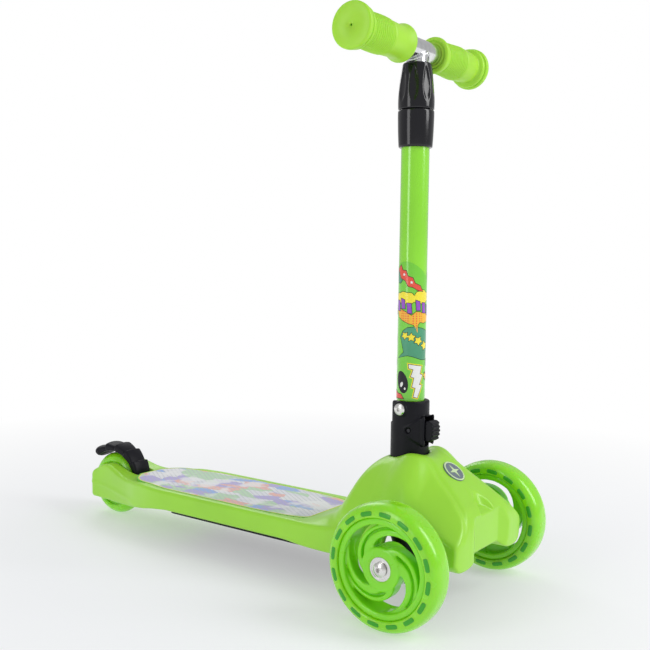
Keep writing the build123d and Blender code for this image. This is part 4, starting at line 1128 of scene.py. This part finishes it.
def mat_outline(inset):
    """The mat's outline, drawn in by an inset."""
    ys = np.concatenate([np.linspace(MAT_Y[0], 105, 40), np.linspace(110, MAT_Y[1], 40)])
    right = [(float(MAT_HALF(y)), float(y)) for y in ys]
    outline = right + [(-x, y) for x, y in reversed(right)]
    return grown(outline, -inset)


def add_mat(print_top, green, yellow):
    """The mat as a printed field inside two thin coloured borders."""
    low, high = DECK_TOP - MAT_T, DECK_TOP
    rings = (
        ("mat_edge_green", 0.0, BORDER[0], green),
        ("mat_edge_yellow", BORDER[0], BORDER[1], yellow),
    )
    for name, start, stop, material in rings:
        outer, inner = mat_outline(start), mat_outline(stop)
        n = len(outer)
        points = [(x, y, z) for z in (low, high) for ring in (outer, inner) for x, y in ring]
        faces = []
        for i in range(n):
            j = (i + 1) % n
            faces += [
                (2 * n + i, 2 * n + j, 3 * n + j, 3 * n + i), (i, n + i, n + j, j),
                (i, j, 2 * n + j, 2 * n + i), (n + j, n + i, 3 * n + i, 3 * n + j),
            ]
        link_mesh(name, points, faces, "chassis", material, smooth=False)

    def on_deck(u, v, lift):
        return (u, v, low + lift)

    points, faces = thick([(mat_outline(BORDER[1]), 0.0)], on_deck, high - low)
    link_mesh("mat_print_field", points, faces, "chassis", print_top, ["deck_mat"],
              smooth=False)


def add_badge(pale):
    """Raised rim and a plain four-pointed star on the badge's disc."""
    low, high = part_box("hood_badge")
    middle = [(a + b) / 2 / MM for a, b in zip(low, high)]
    centre = Vector(middle) + BADGE_OUT * 0.9

    def on_badge(u, v, lift):
        return tuple(centre + Vector((u, 0, 0)) + BADGE_UP * v + BADGE_OUT * lift)

    points, faces = thick([(burst((0, 0), 8.6, 2.3, 4, math.pi / 2), -0.3)], on_badge, 0.8)
    link_mesh("badge_star", points, faces, "chassis", pale, smooth=False)
    profile = [(-0.4, 10.6), (0.30, 10.7), (0.50, 11.0), (0.50, 11.8), (0.25, 12.2), (-0.4, 12.3)]
    local, faces = lathe(profile, 72)
    points = [on_badge(b, c, a) for a, b, c in local]
    link_mesh("badge_rim", points, faces, "chassis", pale)


def shard_print(name):
    """Pastel shards under a fine diagonal mesh of grip lines."""
    mat, tree, shader = new_material(name)
    place = own_place(tree)
    bend = node(tree, "TexNoise", {"Vector": place, "Scale": 12.0, "Detail": 1.0}).outputs["Color"]
    push = node(tree, "VectorMath", {0: bend, 1: (0.05, 0.05, 0.0)}, operation="MULTIPLY").outputs[0]
    moved = node(tree, "VectorMath", {0: place, 1: push}, operation="ADD").outputs[0]
    long = node(tree, "Mapping", {"Vector": moved, "Rotation": (0, 0, 0.7), "Scale": (62, 30, 0)}).outputs[0]
    cells = node(tree, "TexVoronoi", {"Vector": long, "Scale": 1.0}, distance="MANHATTAN")
    pick = node(tree, "SeparateColor", {"Color": cells.outputs["Color"]}).outputs[0]
    ramp = node(tree, "ValToRGB", {"Fac": pick})
    ramp.color_ramp.interpolation = "CONSTANT"
    palette = (
        (0.30, 0.48, 0.88), (0.90, 0.48, 0.42), (0.78, 0.80, 0.86), (0.48, 0.42, 0.78), (0.52, 0.76, 0.50),
        (0.90, 0.66, 0.60), (0.84, 0.85, 0.88), (0.42, 0.66, 0.78),
    )
    stops = ramp.color_ramp.elements
    for i, colour in enumerate(palette):
        stop = stops[i] if i < 2 else stops.new(0.5)
        stop.position = i / len(palette)
        stop.color = (*colour, 1)
    lines = []
    for turn in (0.6, 2.2):
        slanted = node(tree, "Mapping", {"Vector": place, "Rotation": (0, 0, turn)}).outputs[0]
        wave = node(tree, "TexWave", {"Vector": slanted, "Scale": 62.0}, bands_direction="X")
        lines.append(spread(tree, wave.outputs["Fac"], 0.0, 1.0, 0.55, 0.95))
    mesh_lines = node(tree, "Math", {0: lines[0], 1: lines[1]}, operation="MAXIMUM").outputs[0]
    veil = spread(tree, mesh_lines, 0.0, 0.55, 0.0, 1.0)
    greyed = mixed(tree, veil, ramp.outputs["Color"], (0.50, 0.52, 0.56))
    patches = spread(tree, noise(tree, 26.0, 4.0), 0.0, 0.75, 0.52, 0.60)
    base = mixed(tree, patches, greyed, (0.86, 0.87, 0.88))
    feed(tree, shader, {"Base Color": base, "Roughness": 0.6})
    bump(tree, shader, mesh_lines, 0.4, 0.0003)
    return mat


def halftone(name, colour, dots):
    """Flat printed colour with a grid of small round dots."""
    mat, tree, shader = new_material(name)
    place = own_place(tree)
    cells = node(tree, "TexVoronoi", {"Vector": place, "Scale": 420.0, "Randomness": 0.0})
    dot = spread(tree, cells.outputs["Distance"], 1.0, 0.0, 0.30, 0.38)
    gloss = spread(tree, noise(tree, 60.0), 0.22, 0.32)
    feed(tree, shader, {"Base Color": mixed(tree, dot, colour, dots), "Roughness": gloss})
    return mat


# ---- Assembly ----
add_camera()
add_stage()

deck_green = moulded("deck_lime", (0.352, 0.758, 0.040), 0.34, coat=0.15, soft=0.10)
rim_green = moulded("rim_lime", (0.250, 0.780, 0.012), 0.30, coat=0.3, soft=0.5)
tyre_green = moulded("tyre_lime", (0.290, 0.790, 0.010), 0.26, coat=0.4, soft=0.6)
window_green = moulded("window_lime", (0.045, 0.40, 0.020), 0.22, coat=0.2, soft=0.1, specular=0.3)
paint_green = moulded("tube_lime", (0.262, 0.740, 0.020), 0.20, coat=0.9, grain=500)
grip_green = moulded("grip_lime", (0.376, 0.730, 0.036), 0.42, soft=0.25)
black_matt = moulded("black_nylon", (0.007, 0.007, 0.011), 0.42, tint=0.2, depth=0.25, specular=0.18)
black_gloss = moulded("black_gloss", (0.005, 0.005, 0.008), 0.14, tint=0.2, coat=0.25, specular=0.35)
mat_top = shard_print("mat_print")
mat_green = moulded("mat_edge_lime", (0.13, 0.50, 0.04), 0.5)
mat_yellow = moulded("mat_edge_yellow", (0.80, 0.82, 0.06), 0.5)
decal_ground = moulded("decal_ground", (0.17, 0.62, 0.03), 0.22, grain=500, coat=0.6, depth=0.04)
badge_pale = moulded("badge_pale", (0.62, 0.80, 0.45), 0.3)
sticker_colours = {
    "ink": moulded("print_ink", (0.012, 0.012, 0.02), 0.28, depth=0.03, specular=0.3),
    "red": printed("red", (0.80, 0.075, 0.04)),
    "yellow": printed("yellow", (0.92, 0.78, 0.03)),
    "purple": printed("purple", (0.30, 0.07, 0.55)),
    "orange": halftone("print_orange", (0.92, 0.50, 0.04), (0.85, 0.16, 0.04)),
    "teal": printed("teal", (0.05, 0.30, 0.16), tint=0.25),
    "white": printed("white", (0.85, 0.85, 0.85)),
}
zinc = metal("zinc_plate", (0.80, 0.79, 0.77), 0.24)
spring_wire = metal("spring_wire", (0.50, 0.50, 0.52), 0.3, 0.2)
bar_alloy = metal("bar_alloy", (0.82, 0.83, 0.85), 0.18, 0.1)
badge_grey = moulded("badge_grey", (0.16, 0.2, 0.24), 0.3)

SLOT_MATERIAL = {
    "deck_green": deck_green, "rim_green": rim_green, "tyre_green": tyre_green, "tube_paint": paint_green,
    "grip_rubber": grip_green, "black_plastic": black_matt, "black_block": black_matt,
    "black_gloss": black_gloss, "printed_mat": mat_top, "zinc_steel": zinc,
    "spring_steel": spring_wire, "bar_metal": bar_alloy, "badge_grey": badge_grey,
    "decal_film": decal_ground,
}
# The latch pin is given a near-black metal in place of the zinc of its slot.
NODE_MATERIAL = {"latch_pin": metal("dark_latch_pin", (0.05, 0.05, 0.055), 0.35)}
for part in frame["record"]["subparts"]:
    mesh = frame["nodes"][part["node"]].data
    mesh.materials.clear()
    finish = NODE_MATERIAL.get(part["node"], SLOT_MATERIAL[part["material_slot"]])
    mesh.materials.append(finish)

add_deck(deck_green)
add_front_wheels(rim_green, tyre_green, window_green)
add_grips(grip_green)
add_collar(black_gloss)
add_weld(bar_alloy)
add_black_parts(black_matt)
add_sticker(sticker_colours)
add_mat(mat_top, mat_green, mat_yellow)
add_badge(badge_pale)
